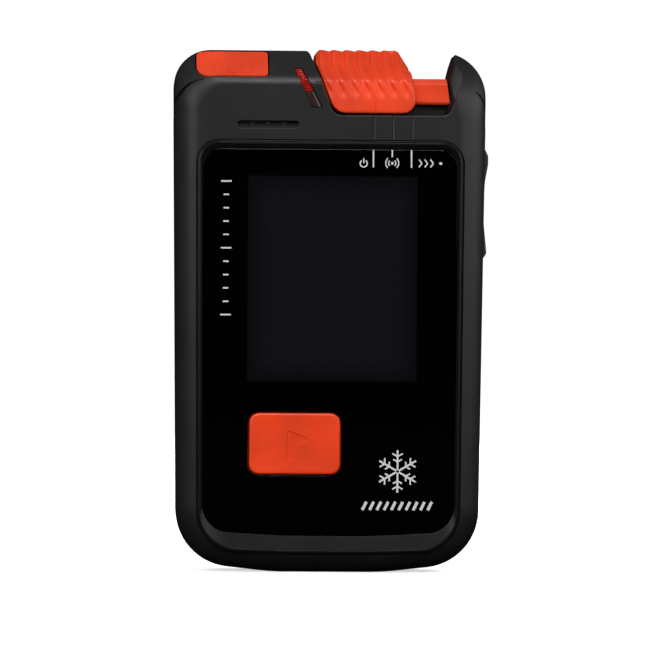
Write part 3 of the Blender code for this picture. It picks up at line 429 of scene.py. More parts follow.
def rear_sections(seam_y):
    """The back, from the seam to its rounded edge."""
    edge, steps = SEAM_EDGE, 14
    sections = []
    for turned_in, y in ((edge, seam_y), (edge * 0.3, seam_y + edge * 0.3), (0.0, seam_y + edge)):
        sections.append(case_section(y, 0, 0, 0, 1, turned_in))
    for k in range(steps + 1):
        angle = math.pi / 2 * k / steps
        drawn_in = BACK_ROLL * (1 - math.cos(angle))
        y = BACK_Y - BACK_ROLL + BACK_ROLL * math.sin(angle)
        sections.append(case_section(y, drawn_in, drawn_in, drawn_in, math.cos(angle)))
    return sections


def notch_cutter(name, grow=0.0, lip=0.0):
    """The gap for the mode switch; its right wall flares towards the front."""

    def outline(share, more):
        size = grow + more
        low = NOTCH_FLOOR_Z - size
        left = [(-13.0 - size, 117.0), (-4.6 - size, 113.5), (0.7 - size, low)]
        front = [(25.6, low), (27.2, 103.2), (28.7, 107.3), (28.9, 117.0)]
        back = [(25.3, low), (25.9, 107.3), (26.8, 111.2), (28.4, 117.0)]
        right = [Vector(f).lerp(Vector(b), share) + Vector((size, 0)) for f, b in zip(front, back)]
        radii = [0.5, 1.6, 2.5, 2.3 - 1.8 * share, 4.0 - 3.0 * share, 4.0 - share, 0.5]
        return rounded([*left, *map(tuple, right)], radii, 10)

    stations = [(FRONT_Y - 3, 0.0, lip)]
    stations += [(FRONT_Y + lip * run, 0.0, lip * rise) for run, rise in quarter(4)]
    stations += [(-8.8, 0.0, 0.0), (-7.6, 0.75, 0.0), (-6.5, 1.0, 0.0), (BACK_Y + 3, 1.0, 0.0)]
    return loft(name, [at_depth(y, outline(share, more)) for y, share, more in stations])


def shoulder_groove(side, width, depth):
    """The crescent-shaped seam between the rolled face and the shoulder, at one top corner."""
    half = key_wall_x(SHOULDER_Z)
    outer_radius, steps = CORNER_TOP, 24
    centre = Vector((half - outer_radius, SHOULDER_Z - outer_radius))
    sections = []
    for k in range(1, steps):
        share = k / steps
        angle = math.pi / 2 * share
        out = Vector((math.cos(angle), math.sin(angle)))
        swell = math.sin(math.pi * share) ** 0.7
        inner = centre + out * (outer_radius + 0.02)
        outer = inner + out * width * swell
        reach = max(inner.x - (half - SIDE_ROLL), 0.0) / SIDE_ROLL
        surface = FRONT_Y + ROLL_DEPTH * (1 - math.sqrt(max(1 - reach * reach, 0.0)))
        floor = surface + depth * swell
        sections.append([
            (side * inner.x, -14, inner.y), (side * outer.x, -14, outer.y),
            (side * outer.x, floor, outer.y), (side * inner.x, floor, inner.y),
        ])
    return loft("shoulder_groove", sections)


def room(*stations):
    """The hollow inside a shell; a station is the wall's thickness and the depth it holds at."""
    sections = []
    for wall, y in stations:
        half_top, half_base = HALF_WIDTH_TOP - wall, HALF_WIDTH_BASE - wall
        sections.append(at_depth(y, tapered(half_top, half_base, wall, ROOM_TOP_Z, 3.0, ROOM_CORNER - wall)))
    return loft("room", sections)


def speaker_cutters():
    """The sunken bar over the speaker and the four slits in its floor."""
    recess_depth = 0.95
    outline = lambda grow: rectangle(SPEAKER_X, SPEAKER_Z, 0.75, grow)
    yield flared("recess", outline, FRONT_Y, FRONT_Y + recess_depth, 0.15)
    for i in range(SLIT_COUNT):
        middle = sum(SPEAKER_X) / 2 + (i - (SLIT_COUNT - 1) / 2) * SLIT_PITCH
        slit = (middle - SLIT_WIDTH / 2, middle + SLIT_WIDTH / 2)
        yield slab("slit", lambda grow: rectangle(slit, SLIT_Z, 0.3), FRONT_Y - 1, -9.0)


def make_case_front(material):
    seam_y = PARTING_Y - PARTING_GAP / 2
    shell = loft("case_front", front_sections(lambda back: SLOPE_RISE * (1 - back) + brow(back), seam_y))
    cut(shell, shoulder_groove(-1, 0.6, 2.3), shoulder_groove(1, 0.35, 1.6))
    add(shell, loft("face", front_sections(lambda back: SLOPE_RISE + brow(back), seam_y)))
    cut(shell, notch_cutter("notch", lip=0.3))
    cut(shell, flared("window", lambda grow: bezel_outline(0.14 + grow), FRONT_Y, PLATE_FRONT_Y, 0.15))
    cut(shell, on_shoulder("lock_pocket", lambda grow: lock_outline(GAP + grow), -LOCK_POCKET, 3.0))
    cut(shell, slab("lamp_slot", lambda grow: lamp_outline(LAMP_LOW, LAMP_HIGH, grow), FRONT_Y - 2, -6.5))
    cut(shell, *speaker_cutters())
    through_wall, key_y = (30, 40), (KEY_Y[0] - GAP, KEY_Y[1] + GAP)
    for low, high in (KEY_UP_Z, KEY_DOWN_Z):
        cut(shell, box("key_slot", through_wall, key_y, (low - GAP, high + GAP)))
    groove_half, groove_depth = 0.12, 0.35
    for x in MARKS_X:
        groove_x = (x - groove_half, x + groove_half)
        cut(shell, box("index_groove", groove_x, (-13, FRONT_Y + groove_depth), (94.0, 101)))
    cut(shell, room((2.8, PLATE_BACK_Y), (WALL, -5.0), (WALL, PARTING_Y + 1)))
    speaker_room = rectangle((-31.2, -3.4), (96.2, 104.4), 1.5)
    cut(shell, slab("speaker_room", lambda grow: speaker_room, -10.2, PARTING_Y + 1))
    through = (PLATE_FRONT_Y - 1, PLATE_BACK_Y + 1)
    display_hole = rectangle((-20.9, 22.1), (38.5, 89.5), 1.0)
    cut(shell, slab("display_hole", lambda grow: display_hole, *through))
    cut(shell, slab("flag_hole", lambda grow: flag_outline(GAP), *through))
    soften(shell, 0.12)
    piece(shell, "case_front", material, "case", "front_housing", slot="case_black")


# ---- the front
def skin_y(x, z):
    """How far back the case's rolled front lies at a point near its sides and base."""
    side = max(abs(x) - (key_wall_x(z) - SIDE_ROLL), 0.0) / SIDE_ROLL
    base = max(BASE_ROLL - z, 0.0) / BASE_ROLL
    return FRONT_Y + ROLL_DEPTH * (1 - math.sqrt(max(1 - side * side - base * base, 0.0)))


def make_bezel(material):
    """The frame round the lens: a narrow rim, then a slope down to the lens."""
    edge = 0.22

    def on_skin(grow, drop):
        return [(x, skin_y(x, z) + drop, z) for x, z in bezel_outline(grow)]

    sections = [at_depth(BEZEL_BACK_Y, bezel_outline())]
    sections += [on_skin(-edge * (1 - rise), edge * (1 - run)) for rise, run in quarter(4)]
    sections += [on_skin(-0.62, 0.02), on_skin(-0.74, 0.09)]
    sections.append(at_depth(LENS_FRONT_Y - 0.12, lens_outline(0.1)))
    sections.append(at_depth(LENS_FRONT_Y, lens_outline(0.02)))
    sections.append(at_depth(BEZEL_BACK_Y, lens_outline()))
    bezel = loft("bezel", sections, ring=True)
    soften(bezel, 0.0)
    piece(bezel, "bezel_frame", material, "case", "front_bezel", slot="case_black")


def make_lens(material):
    lens = slab("lens", lambda grow: lens_outline(grow - 0.12), LENS_FRONT_Y, LENS_BACK_Y, front=0.12)
    cut(lens, flared("lens_flag", lambda grow: flag_outline(0.28 + grow), LENS_FRONT_Y, PLATE_FRONT_Y, 0.08))
    soften(lens, 0.0)
    piece(lens, "lens_window", material, "case", "display_lens", slot="gloss_black")


def mark(outline, surface=LENS_FRONT_Y, proud=0.03):
    """A thin mark, which stands a hair proud of the surface it is on: print, and also the painted highlights
    beside the index grooves.
    """
    return slab("mark", lambda grow: outline, surface - proud, surface + 0.1)


def bar(x, z, radius=0.05):
    return mark(rectangle(x, z, radius, steps=2))


def strip(start, end, width):
    """A straight printed line between two points."""
    start, end = Vector(start), Vector(end)
    side = (end - start).normalized().orthogonal() * width / 2
    return mark([tuple(point) for point in (start - side, end - side, end + side, start + side)])


def arc(middle, radius, start, end, steps):
    """Points along an arc, from one angle to another."""
    angles = [start + (end - start) * k / steps for k in range(steps + 1)]
    return [(middle[0] + radius * math.cos(angle), middle[1] + radius * math.sin(angle)) for angle in angles]


def mode_signs():
    """Off is a broken ring with a bar, sending is a dot between arcs, and searching is three chevrons."""
    middle, ring = (7.2, 89.05), (math.pi / 2 + 0.6, math.pi * 2.5 - 0.6, 40)
    yield mark(arc(middle, 0.9, *ring) + arc(middle, 0.64, *ring)[::-1])
    yield bar((7.07, 7.33), (89.1, 90.2))
    yield bar((13.1, 13.7), (88.85, 89.45), 0.25)
    for side in (-1, 1):
        for reach in (0.8, 1.45):
            points = [(13.4 + side * x, z) for x, z in arc((0, 89.15), reach, -0.8, 0.8, 3)]
            yield from (strip(start, end, 0.26) for start, end in zip(points, points[1:]))
    for i in range(3):
        x = 19.2 + i * 1.25
        tip = (x + 0.65, 89.15)
        yield strip((x, 90.0), tip, 0.28)
        yield strip(tip, (x, 88.3), 0.28)
    yield bar((23.6, 24.3), (88.8, 89.5), 0.34)


def distance_scale():
    """Eleven ticks up the left side; every fifth one is long."""
    for i in range(11):
        z, half = 56.0 + i * 2.9, (1.15 if i % 5 == 0 else 0.6)
        yield bar((-22.6 - half, -22.6 + half), (z - 0.17, z + 0.17))


def snowflake():
    middle, reach = Vector((15.0, 22.2)), 4.6
    for k in range(6):
        out = Vector((0, 1))
        out.rotate(Matrix.Rotation(math.pi / 3 * (k - 1), 2))
        yield strip(middle + out * 0.3, middle + out * reach, 0.42)
        for share, length in ((0.45, 1.1), (0.7, 1.3)):
            knot = middle + out * reach * share
            for turn in (-1, 1):
                twig = Matrix.Rotation(turn * math.pi / 3, 2) @ out
                yield strip(knot, knot + twig * length, 0.34)


def hatch_bar():
    for i in range(10):
        x = 7.4 + i * 1.58
        yield strip((x, 13.8), (x + 0.9, 15.6), 0.62)


def make_marks(material, painted_highlight_material):
    """The switch's index lines on the lens, a painted highlight strip along one edge of each index groove on
    the case, and the plain signs on the lens.
    """
    lines = [bar((x - 0.16, x + 0.16), (low, 92.0)) for x, low in zip(MARKS_X, (88.2, 90.5, 88.2))]
    highlight_z = (94.3, 98.9)
    # painted highlight: a pale strip along one edge of each index groove, where the groove's lip would catch
    # light
    edges = [mark(rectangle((x + 0.15, x + 0.3), highlight_z, 0.05, steps=2), FRONT_Y, 0.02) for x in MARKS_X]
    printed = {"index_marks": lines, "index_groove_highlights": edges, "mode_signs": mode_signs(),
               "distance_scale": distance_scale(), "snowflake": snowflake(), "hatch_bar": hatch_bar()}
    for name, parts in printed.items():
        whole, *others = parts
        soften(add(whole, *others), 0.0)
        if name == "index_groove_highlights":
            piece(whole, name, painted_highlight_material, "case", slot="case_black")
        else:
            piece(whole, name, material, "case", slot="display_grey")


def make_flag_key(material):
    """The front key: its face dips slightly in the middle, and has a shallow pennant pressed into it."""
    edge, foot_y = 0.55, -6.8
    stations = [(-3.2, FLAG_FRONT_Y + 0.1), (-2.2, FLAG_FRONT_Y + 0.08), (-1.3, FLAG_FRONT_Y + 0.03)]
    stations += [(-0.05 - edge * rise, FLAG_FRONT_Y + edge * run) for run, rise in quarter(6)]
    stations += [(-0.05, foot_y), (1.2, foot_y), (1.2, foot_y + 0.4)]
    key = loft("flag", [at_depth(y, flag_outline(grow)) for grow, y in stations])
    corners = [(-9.0, 24.4), (-7.5, 24.4), (-7.5, 27.7), (-3.9, 28.95), (-9.0, 31.0)]
    pennant = rounded(corners, [0.3, 0.3, 0.15, 0.3, 0.3], 4)
    cut(key, slab("pennant", lambda grow: pennant, FLAG_FRONT_Y - 3, FLAG_FRONT_Y + 0.38))
    soften(key, 0.07, 30)
    piece(key, "flag_key", material, "flag_key", "flag_button", slot="orange")


# ---- the switch
def ramp(value):
    return min(max(value, 0.0), 1.0)


def ease(value):
    return value * value * (3 - 2 * value)


def roll(share, power=2.0):
    """How far a rounded edge falls back: 1 at the edge itself, and 0 from share 1 on."""
    return 1 - math.sqrt(max(1 - max(1 - share, 0.0) ** power, 0.0))


def edge_x(corners, radii, side):
    """A function that gives the x of an outline's left (-1) or right (1) side at a height."""
    loop = rounded(corners, radii, 16)
    heights = [z for _, z in loop]
    levels = np.linspace(min(heights), max(heights), 120)
    found = []
    for level in levels:
        crossings = []
        for (x0, z0), (x1, z1) in zip(loop, loop[1:] + loop[:1]):
            if min(z0, z1) <= level <= max(z0, z1):
                share = 0.5 if z0 == z1 else (level - z0) / (z1 - z0)
                crossings.append(x0 + (x1 - x0) * share)
        found.append(max(crossings) if side > 0 else min(crossings))
    return lambda z: float(np.interp(z, levels, found))


def slider_face(z):
    """How far back the slider's front lies at height z, before its ridges."""
    rise = (z - SLIDER_BASE_Z) / SLIDER_FOOT_EDGE
    if rise < 1:
        return SLIDER_FRONT_Y + SLIDER_FOOT_EDGE * roll(rise)
    slope_y = FRONT_Y - SLIDER_LIFT + (z - SHOULDER_Z) * ROLL_DEPTH / SLOPE_RISE
    blend = 0.5
    gap = (slope_y - SLIDER_FRONT_Y) / blend
    return SLIDER_FRONT_Y + blend * (math.log1p(math.exp(min(gap * 2, 30))) / 2 if gap < 15 else gap)


def slider_back(z):
    """The slider's back: upright, then a long chamfer up to its top."""
    chamfer_z, chamfer_slope = 109.4, 0.84
    rise = (z - SLIDER_BASE_Z) / SLIDER_FOOT_EDGE
    if rise < 1:
        return SLIDER_BACK_Y - SLIDER_FOOT_EDGE * roll(rise)
    return SLIDER_BACK_Y - max(z - chamfer_z, 0.0) * chamfer_slope


def ridge(x, z):
    """How far the face is sunk at a point: leaning grooves that fade out near the lower lip."""
    bend_z, rise_share, fade_height = 110.2, 0.22, 1.9
    lean = 0.52 * max(bend_z - z, 0.0) - 0.1 * max(min(bend_z - z, 2.0), 0.0)
    phase = ((x - lean + 2.9) / RIDGE_PITCH) % 1.0
    if phase < rise_share:
        crest = phase / rise_share
    else:
        crest = 1 - ((phase - rise_share) / (1 - rise_share)) ** 1.35
    end = RIDGE_END_Z + 0.7 * (2 * abs(phase - 0.6)) ** 2
    return -RIDGE_HEIGHT * (1 - ease(crest)) * ease(ramp((z - end) / fade_height))


def slider_heights():
    """The heights of the skin's rows: close together at its rounded foot and top."""
    turns = [math.pi / 2 * k / 5 for k in range(6)]
    low = [SLIDER_BASE_Z + SLIDER_FOOT_EDGE * (1 - math.cos(turn)) for turn in turns]
    middle = np.arange(SLIDER_BASE_Z + 0.7, SLIDER_TOP_Z - 0.5, 0.2)
    return [*low, *middle, *(SLIDER_TOP_Z - 0.4 * (1 - math.sin(turn)) for turn in turns)]


def slider_rows(corners, radii):
    """The rows of points along the slider's front and along its back, from its foot up."""
    left, right = edge_x(corners, radii, -1), edge_x(corners, radii, 1)
    columns, left_edge = 190, 0.5
    front, back = [], []
    for z in slider_heights():
        x0, x1 = left(z), right(z)
        bevel = 0.45 + 1.35 * ramp((z - 104.2) / 3.0) * max(ramp((114.6 - z) / 3.0), 0.3)
        front_row, back_row = [], []
        for i in range(columns + 1):
            x = x0 + (x1 - x0) * i / columns
            sunk = ridge(x, z) * ramp((x1 - x - 0.5) / 1.2)
            turn = left_edge * roll((x - x0) / left_edge) + bevel * 1.1 * roll((x1 - x) / bevel, 1.6)
            height = z + sunk * 0.5 * ramp((z - SHOULDER_Z - 1) / 4)
            back_sunk = sunk * 0.6 if z > 104 else 0.0
            front_row.append((x, slider_face(z) - sunk * 0.9 + turn, height))
            back_row.append((x, slider_back(z) + back_sunk - turn * 0.3, height))
        front.append(front_row)
        back.append(back_row)
    return front, back


def slider_skin(front, back):
    """The closed skin through the front and back rows."""
    work = bmesh.new()
    front, back = ([[work.verts.new(Vector(point) * MM) for point in row] for row in rows]
                   for rows in (front, back))

    def panel(near, far):
        for i in range(len(near) - 1):
            work.faces.new((near[i], near[i + 1], far[i + 1], far[i]))

    for rows in (front, back):
        for low, high in zip(rows, rows[1:]):
            panel(low, high)
    for k in (0, -1):
        panel(front[k], back[k])
    for i in (0, -1):
        panel([row[i] for row in front], [row[i] for row in back])
    return from_bmesh("slider", work)


def make_slider(material):
    """The thumb switch: ridged over its front and top, bevelled on its right."""
    corners = [(0.9, SLIDER_BASE_Z), (18.3, SLIDER_BASE_Z), (18.45, 103.3), (17.6, 108.9),
               (14.7, SLIDER_TOP_Z), (-3.1, SLIDER_TOP_Z), (-3.3, 111.3)]
    slider = slider_skin(*slider_rows(corners, [3.4, 2.9, 2.0, 5.0, 0.9, 0.7, 2.2]))
    gap, across = 0.4, (-20, 40)
    head, neck = RAIL_HALF_HEAD + gap, RAIL_HALF_NECK + gap
    rooms = (
        ("channel", across, (-head, head), (RAIL_HEAD_Z - gap, RAIL_TOP_Z + gap)),
        ("neck", across, (-neck, neck), (99, RAIL_HEAD_Z)),
        ("side", (SLIDER_SIDE_X, 40), (-head, 20), (99, 120)),
        ("spring_seat", (1.8, 12.2), (-2.3, 2.3), (RAIL_TOP_Z, 110.3)),
        ("magnet_seat", (6.7, 13.3), (-11.4, -8.0), (99, 103.4)),
        ("index", (9.58, 9.82), (-13, SLIDER_FRONT_Y + 0.12), (99, 103.2)),
    )
    cut(slider, *(box(*spans) for spans in rooms))
    soften(slider, 0.0)
    piece(slider, "thumb_slider", material, "mode_switch", "mode_slider", slot="orange")


def make_rail(material, foot_material):
    """The guide that the switch rides on, with faceted edges, and the dark foot under it."""
    head, neck = RAIL_HALF_HEAD, RAIL_HALF_NECK
    front = [(-head + 0.5, RAIL_HEAD_Z), (-head, RAIL_HEAD_Z + 0.5), (-head + 0.12, 104.7), (-head, 106.5),
             (-head + 1.0, RAIL_TOP_Z)]
    profile = front + [(-y, z) for y, z in reversed(front)]

    def end_x(z):
        return 26.1 - (z - RAIL_HEAD_Z) * 0.14

    rail = loft("rail", [[(-6.0, y, z) for y, z in profile], [(end_x(z), y, z) for y, z in profile]])
    boolean(rail, [notch_cutter("rail_room", -0.04)], "INTERSECT")
    for i in range(3):
        x = 7.0 + i * 4.05
        cut(rail, box("detent", (x - 0.9, x + 0.9), (-2.3, 2.3), (RAIL_TOP_Z - 0.6, RAIL_TOP_Z + 1)))
    soften(rail, 0.12, 20)
    foot = box("foot", (-6.0, 30.0), (-neck, neck), (NOTCH_FLOOR_Z - 1, RAIL_HEAD_Z - 0.02))
    boolean(foot, [notch_cutter("foot_room", -0.04)], "INTERSECT")
    soften(foot, 0.1)
    piece(foot, "rail_foot", foot_material, "case", "slider_rail", slot="case_black")
    piece(rail, "switch_rail", material, "case", "slider_rail", slot="orange")


# ---- lock button
LOCK_STEP = ((-25.56, -25.44), (-2, 12))
LOCK_MARKS = (
    # in X, and along the shoulder
    ((-22.5, -22.2), (2.0, 3.6)), ((-17.3, -17.0), (2.0, 3.6)), ((-22.5, -20.6), (2.0, 2.3)),
    ((-18.9, -17.0), (2.0, 2.3)), ((-20.1, -19.4), (2.6, 3.3)),
)


def make_lock_cap(material, steel):
    """The lock button's cap, cut from the case's own rolled corner, with its stem and spring."""
    cap = loft("cap", front_sections(lambda back: SLOPE_RISE * (1 - back), PARTING_Y))
    boolean(cap, [on_shoulder("keep", lock_outline, -LOCK_THICKNESS, 4.0)], "INTERSECT")
    cut(cap, on_shoulder("step", lambda grow: rectangle(*LOCK_STEP, 0.02), -0.12, 1.0))
    for spans in LOCK_MARKS:
        cut(cap, on_shoulder("mark", lambda grow: rectangle(*spans, 0.08), -0.14, 1.0))
    soften(cap, 0.22, 30, 3)

    def on_stem(depth):
        return on_slope(STEM_X, STEM_ALONG, depth)

    stem = rod("stem", 1.2, on_stem(LOCK_THICKNESS - 0.3), on_stem(8.7), 24)
    soften(stem, 0.1)
    piece(stem, "lock_stem", material, "lock", slot="orange")
    outer, inner = on_stem(LOCK_THICKNESS + 0.25), on_stem(5.5)
    spring = coil("spring", outer, inner, SLOPE_UP, (1.95, 1.95), 3.5, 0.36, 24)
    piece(spring, "return_spring", steel, "case", "lock_spring", slot="steel")
    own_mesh(spring)
    piece(cap, "lock_cap", material, "lock", "lock_button", slot="orange")


# ---- lamp
def lamp_part(low, high, rib):
    """The part of the lamp's window between two heights, with ribs of a depth across its face."""
    gap, chamfer, back_y, ribs_every = 0.1, (0.1, 0.08), -6.9, 4
    sections = []
    count = max(int((high - low) / 0.12), 2)
    for k in range(count + 1):
        z = low + (high - low) * k / count
        x0, x1 = lamp_edges(z)
        x0, x1 = x0 + gap, x1 - gap
        face = FRONT_Y + 0.5 + max(z - SHOULDER_Z, 0.0) * ROLL_DEPTH / SLOPE_RISE
        face += rib * (0.5 + 0.5 * math.cos(2 * math.pi * k / ribs_every))
        side = face + chamfer[1]
        sections.append([(x0, side, z), (x0 + chamfer[0], face, z), (x1 - chamfer[0], face, z), (x1, side, z),
                         (x1, back_y, z), (x0, back_y, z)])
    return soften(loft("lamp_part", sections), 0.0)


def make_lamp_windows(red, smoked):
    guide = lamp_part(LAMP_SPLIT, LAMP_HIGH - 0.2, 0.22)
    piece(guide, "ribbed_light_guide", red, "case", "send_light_guide", slot="red_window")
    lower = lamp_part(LAMP_LOW + 0.2, LAMP_SPLIT, 0.0)
    piece(lower, "smoked_lamp_window", smoked, "case", "lamp_window", slot="smoked_window")


# ---- side keys
def make_side_key(name, node, heights, proud_end, material):
    """A rubber key in the side wall; one end of it stands prouder than the other."""
    low, high = heights
    base, top = key_wall_x(low), key_wall_x(high)
    if proud_end == "top":
        corners = [(31.5, low), (base + 0.12, low), (base + 0.25, low + 2.5), (top + KEY_PROUD, high - 3.4),
                   (top + KEY_PROUD, high - 1.6), (top + 0.1, high), (31.5, high)]
    else:
        corners = [(31.5, low), (base + 0.1, low), (base + KEY_PROUD, low + 1.1), (top + 0.12, high - 1.2),
                   (top + 0.05, high), (31.5, high)]
    radii = [0.05] + [0.9] * (len(corners) - 2) + [0.05]
    radii[1] = radii[-2] = 0.3

    middle, inner_x = (low + high) / 2, 32.5

    def shape(grow):
        points = rounded(corners, radii, 6)
        return [(x + min(grow, 0) * (x > inner_x), z - math.copysign(grow, middle - z)) for x, z in points]

    key = slab("key", shape, KEY_Y[0], KEY_Y[1], front=0.45, back=0.45)
    soften(key, 0.0)
    piece(key, name, material, node.replace("side_", ""), node, slot="rubber_black")


# ---- the back
def boss(x, z, y0, y1, radius):
    return rod("boss", radius, (x, y0, z), (x, y1, z), 40)


def add_battery_bay(shell):
    """The door's recess, the bay for the cells and the room for the lock's cam."""
    tub_half, opening_half = DOOR_HALF + 2.2, DOOR_HALF + 0.4
    wall_x = (-BAY_HALF - BAY_WALL, BAY_HALF + BAY_WALL)
    wall_z = (BAY_LOW_Z - BAY_WALL, BAY_HIGH_Z + BAY_WALL)
    add(shell, box("door_tub", (-tub_half, tub_half), (RECESS_FLOOR_Y - BAY_WALL, 11.0), (4.9, 77.2)))
    add(shell, box("bay_walls", wall_x, (BAY_FLOOR_Y - BAY_WALL, RECESS_FLOOR_Y - 0.4), wall_z))
    add(shell, box("cam_tub", (-9.2, 9.2), (6.0, RECESS_FLOOR_Y), (63.0, 76.0)))
    opening = ((-opening_half, opening_half), (HINGE_Z - 1.75, DOOR_TOP_Z + 0.4))
    recess = lambda grow: rectangle(*opening, 1.6, grow)
    cut(shell, behind(flared("recess", recess, FRONT_Y, -RECESS_FLOOR_Y, 0.2)))
    cut(shell, box("bay", (-BAY_HALF, BAY_HALF), (BAY_FLOOR_Y, BACK_Y), (BAY_LOW_Z, BAY_HIGH_Z)))
    cut(shell, box("cam_room", (-8.0, 8.0), (7.2, BACK_Y), (64.9, DOOR_TOP_Z + 0.4)))


def hinge_hole(half):
    return rod("pin_hole", PIN_RADIUS + 0.15, (-half, HINGE_Y, HINGE_Z), (half, HINGE_Y, HINGE_Z), 24)


def add_hinge_ears(shell):
    for side in (-1, 1):
        x = sorted((side * (BARREL_HALF + 0.3), side * (DOOR_HALF + 1.0)))
        add(shell, box("ear", x, (RECESS_FLOOR_Y - 0.4, BACK_Y - 0.1), (HINGE_Z - 2.2, 9.8)))
    cut(shell, hinge_hole(DOOR_HALF + 0.3))


def leash_rod(name, radius, overlap, sides):
    """A rod across the leash's recess, reaching past both of its ends."""
    middle = sum(LEASH_Z) / 2
    ends = [(x, LEASH_PIN_Y, middle) for x in (LEASH_X[0] - overlap, LEASH_X[1] + overlap)]
    return rod(name, radius, *ends, sides)


def add_leash_recess(shell):
    tub_x, tub_z = (LEASH_X[0] - 1.8, LEASH_X[1] + 1.8), (LEASH_Z[0] - 1.2, LEASH_Z[1] + 1.2)
    add(shell, box("leash_tub", tub_x, (LEASH_FLOOR_Y - 1.2, 11.0), tub_z))
    leash = lambda grow: rectangle(LEASH_X, LEASH_Z, 2.0, grow)
    cut(shell, behind(flared("leash_recess", mirrored(leash), FRONT_Y, -LEASH_FLOOR_Y, 0.5)))
    cut(shell, leash_rod("leash_hole", LEASH_PIN_RADIUS + 0.1, 1.1, 32))


def add_screw_wells(shell):
    for x, z in CASE_SCREWS:
        add(shell, boss(x, z, PARTING_Y + 0.15, BACK_Y - 0.9, 3.3))
        cut(shell, boss(x, z, PARTING_Y - 1, BACK_Y + 2, 1.35))
        well = lambda grow: circle(-x, z, 2.4 + grow)
        cut(shell, behind(flared("screw_well", well, FRONT_Y, -8.6, 0.25)))


def make_case_rear(material):
    shell = loft("case_rear", rear_sections(PARTING_Y + PARTING_GAP / 2))
    cut(shell, notch_cutter("notch"))
    cut(shell, room((WALL, PARTING_Y - 1), (WALL, BACK_Y - BACK_ROLL), (WALL + 2.6, BACK_Y - WALL)))
    add_battery_bay(shell)
    add_hinge_ears(shell)
    add_leash_recess(shell)
    add_screw_wells(shell)
    soften(shell, 0.12)
    piece(shell, "case_rear", material, "case", "rear_housing", slot="case_black")


def circle(x, z, radius, steps=48):
    angles = [2 * math.pi * k / steps for k in range(steps)]
    return [(x + radius * math.cos(angle), z + radius * math.sin(angle)) for angle in angles]


def mirrored(shape):
    return lambda grow: [(-x, z) for x, z in reversed(shape(grow))]


def behind(obj):
    """Turns a piece made for the front half a turn round Z, so that it serves the back."""
    obj.data.transform(Matrix.Rotation(math.pi, 4, "Z"))
    return obj


def make_battery_door(material):
    """The back cover, with a shallow panel, finger ribs, a hinge barrel and a lock boss."""
    inner = BACK_Y - DOOR_THICKNESS
    outline = lambda grow: rectangle((-DOOR_HALF, DOOR_HALF), (HINGE_Z, DOOR_TOP_Z), 1.3, grow)
    door = behind(slab("door", outline, FRONT_Y, -inner, front=0.35, back=0.1))
    panel = lambda grow: rectangle((-15.5, 15.5), (14.0, 57.0), 2.5, grow)
    cut(door, behind(flared("panel", panel, FRONT_Y, FRONT_Y + 0.35, 0.3)))
    for i in range(5):
        z = 18.0 + i * 2.4
        rib = lambda grow: rectangle((-9.0, 9.0), (z - 0.5, z + 0.5), 0.5, grow)
        add(door, behind(slab("rib", rib, FRONT_Y + 0.02, -11.2, 0.3)))
    for side in (-1, 1):
        x = sorted((side * BARREL_HALF, side * (DOOR_HALF + 1)))
        cut(door, box("corner", x, (inner - 1, BACK_Y + 1), (0, HINGE_Z + 2.4)))
    axis = (HINGE_Y, HINGE_Z)
    add(door, rod("barrel", BARREL_RADIUS, (-BARREL_HALF, *axis), (BARREL_HALF, *axis), 48))
    cut(door, hinge_hole(BARREL_HALF + 1))
    add(door, boss(0, LOCK_DISC_Z, 9.4, inner + 0.5, LOCK_BOSS_RADIUS))
    seat = lambda grow: circle(0, LOCK_DISC_Z, LOCK_DISC_RADIUS + 0.25 + grow)
    cut(door, behind(flared("lock_seat", seat, FRONT_Y, -10.6, 0.2)))
    cut(door, boss(0, LOCK_DISC_Z, 8, 11, 2.5))
    soften(door, 0.1)
    piece(door, "battery_cover", material, "door", "battery_door", slot="case_black")


def make_battery_lock(material, steel):
    """The coin-turned lock: a slotted disc with a small pointer, its shaft and its cam."""
    disc = lambda grow: circle(0, LOCK_DISC_Z, LOCK_DISC_RADIUS + grow)
    lock = behind(slab("lock", disc, FRONT_Y, -10.9, front=0.3, back=0.1))
    add(lock, boss(0, LOCK_DISC_Z, 7.6, 11.2, 2.2))
    slot = lambda grow: rectangle((-3.7, 3.7), (LOCK_DISC_Z - 0.65, LOCK_DISC_Z + 0.65), 0.6, grow)
    cut(lock, behind(flared("slot", slot, FRONT_Y, -11.1, 0.15)))
    pointer = lambda grow: rounded([(-0.6, 72.0), (0.6, 72.0), (0.0, 73.2)], [0.1] * 3, 3)
    cut(lock, behind(slab("pointer", pointer, FRONT_Y - 1, -11.8)))
    soften(lock, 0.08)
    piece(lock, "coin_lock", material, "door_lock", "battery_lock", slot="case_black")
    shape = lambda grow: rectangle((-3.4, 3.4), (LOCK_DISC_Z - 3.4, LOCK_DISC_Z + 5.4), 1.5, grow)
    cam = slab("cam", shape, 7.7, 8.9, front=0.2, back=0.1)
    cut(cam, boss(0, LOCK_DISC_Z, 7, 9.5, 2.3))
    soften(cam, 0.0)
    piece(cam, "coin_lock_cam", steel, "door_lock", "lock_cam", slot="steel")


def make_screws(blasted_steel):
    """Case screws with a domed head and a six-sided socket."""
    for i, (x, z) in enumerate(CASE_SCREWS):
        head = lambda grow: circle(-x, z, 2.0 + grow)
        screw = behind(slab("screw", head, -10.6, -9.0, front=0.5, back=0.15))
        cut(screw, rod("socket", 1.0, (x, 9.6, z), (x, 11.5, z), 6))
        add(screw, rod("shank", 0.95, (x, -2.4, z), (x, 9.3, z), 24))
        soften(screw, 0.06)
        number = f"case_screw_{i + 1}"
        piece(screw, f"{number}_socket_head", blasted_steel, "case", number, slot="steel")


def make_leash_pin(steel):
    pin = leash_rod("pin", LEASH_PIN_RADIUS, 0.9, 48)
    soften(pin, 0.15, 40, 3)
    piece(pin, "leash_bar", steel, "case", "leash_pin", slot="steel")


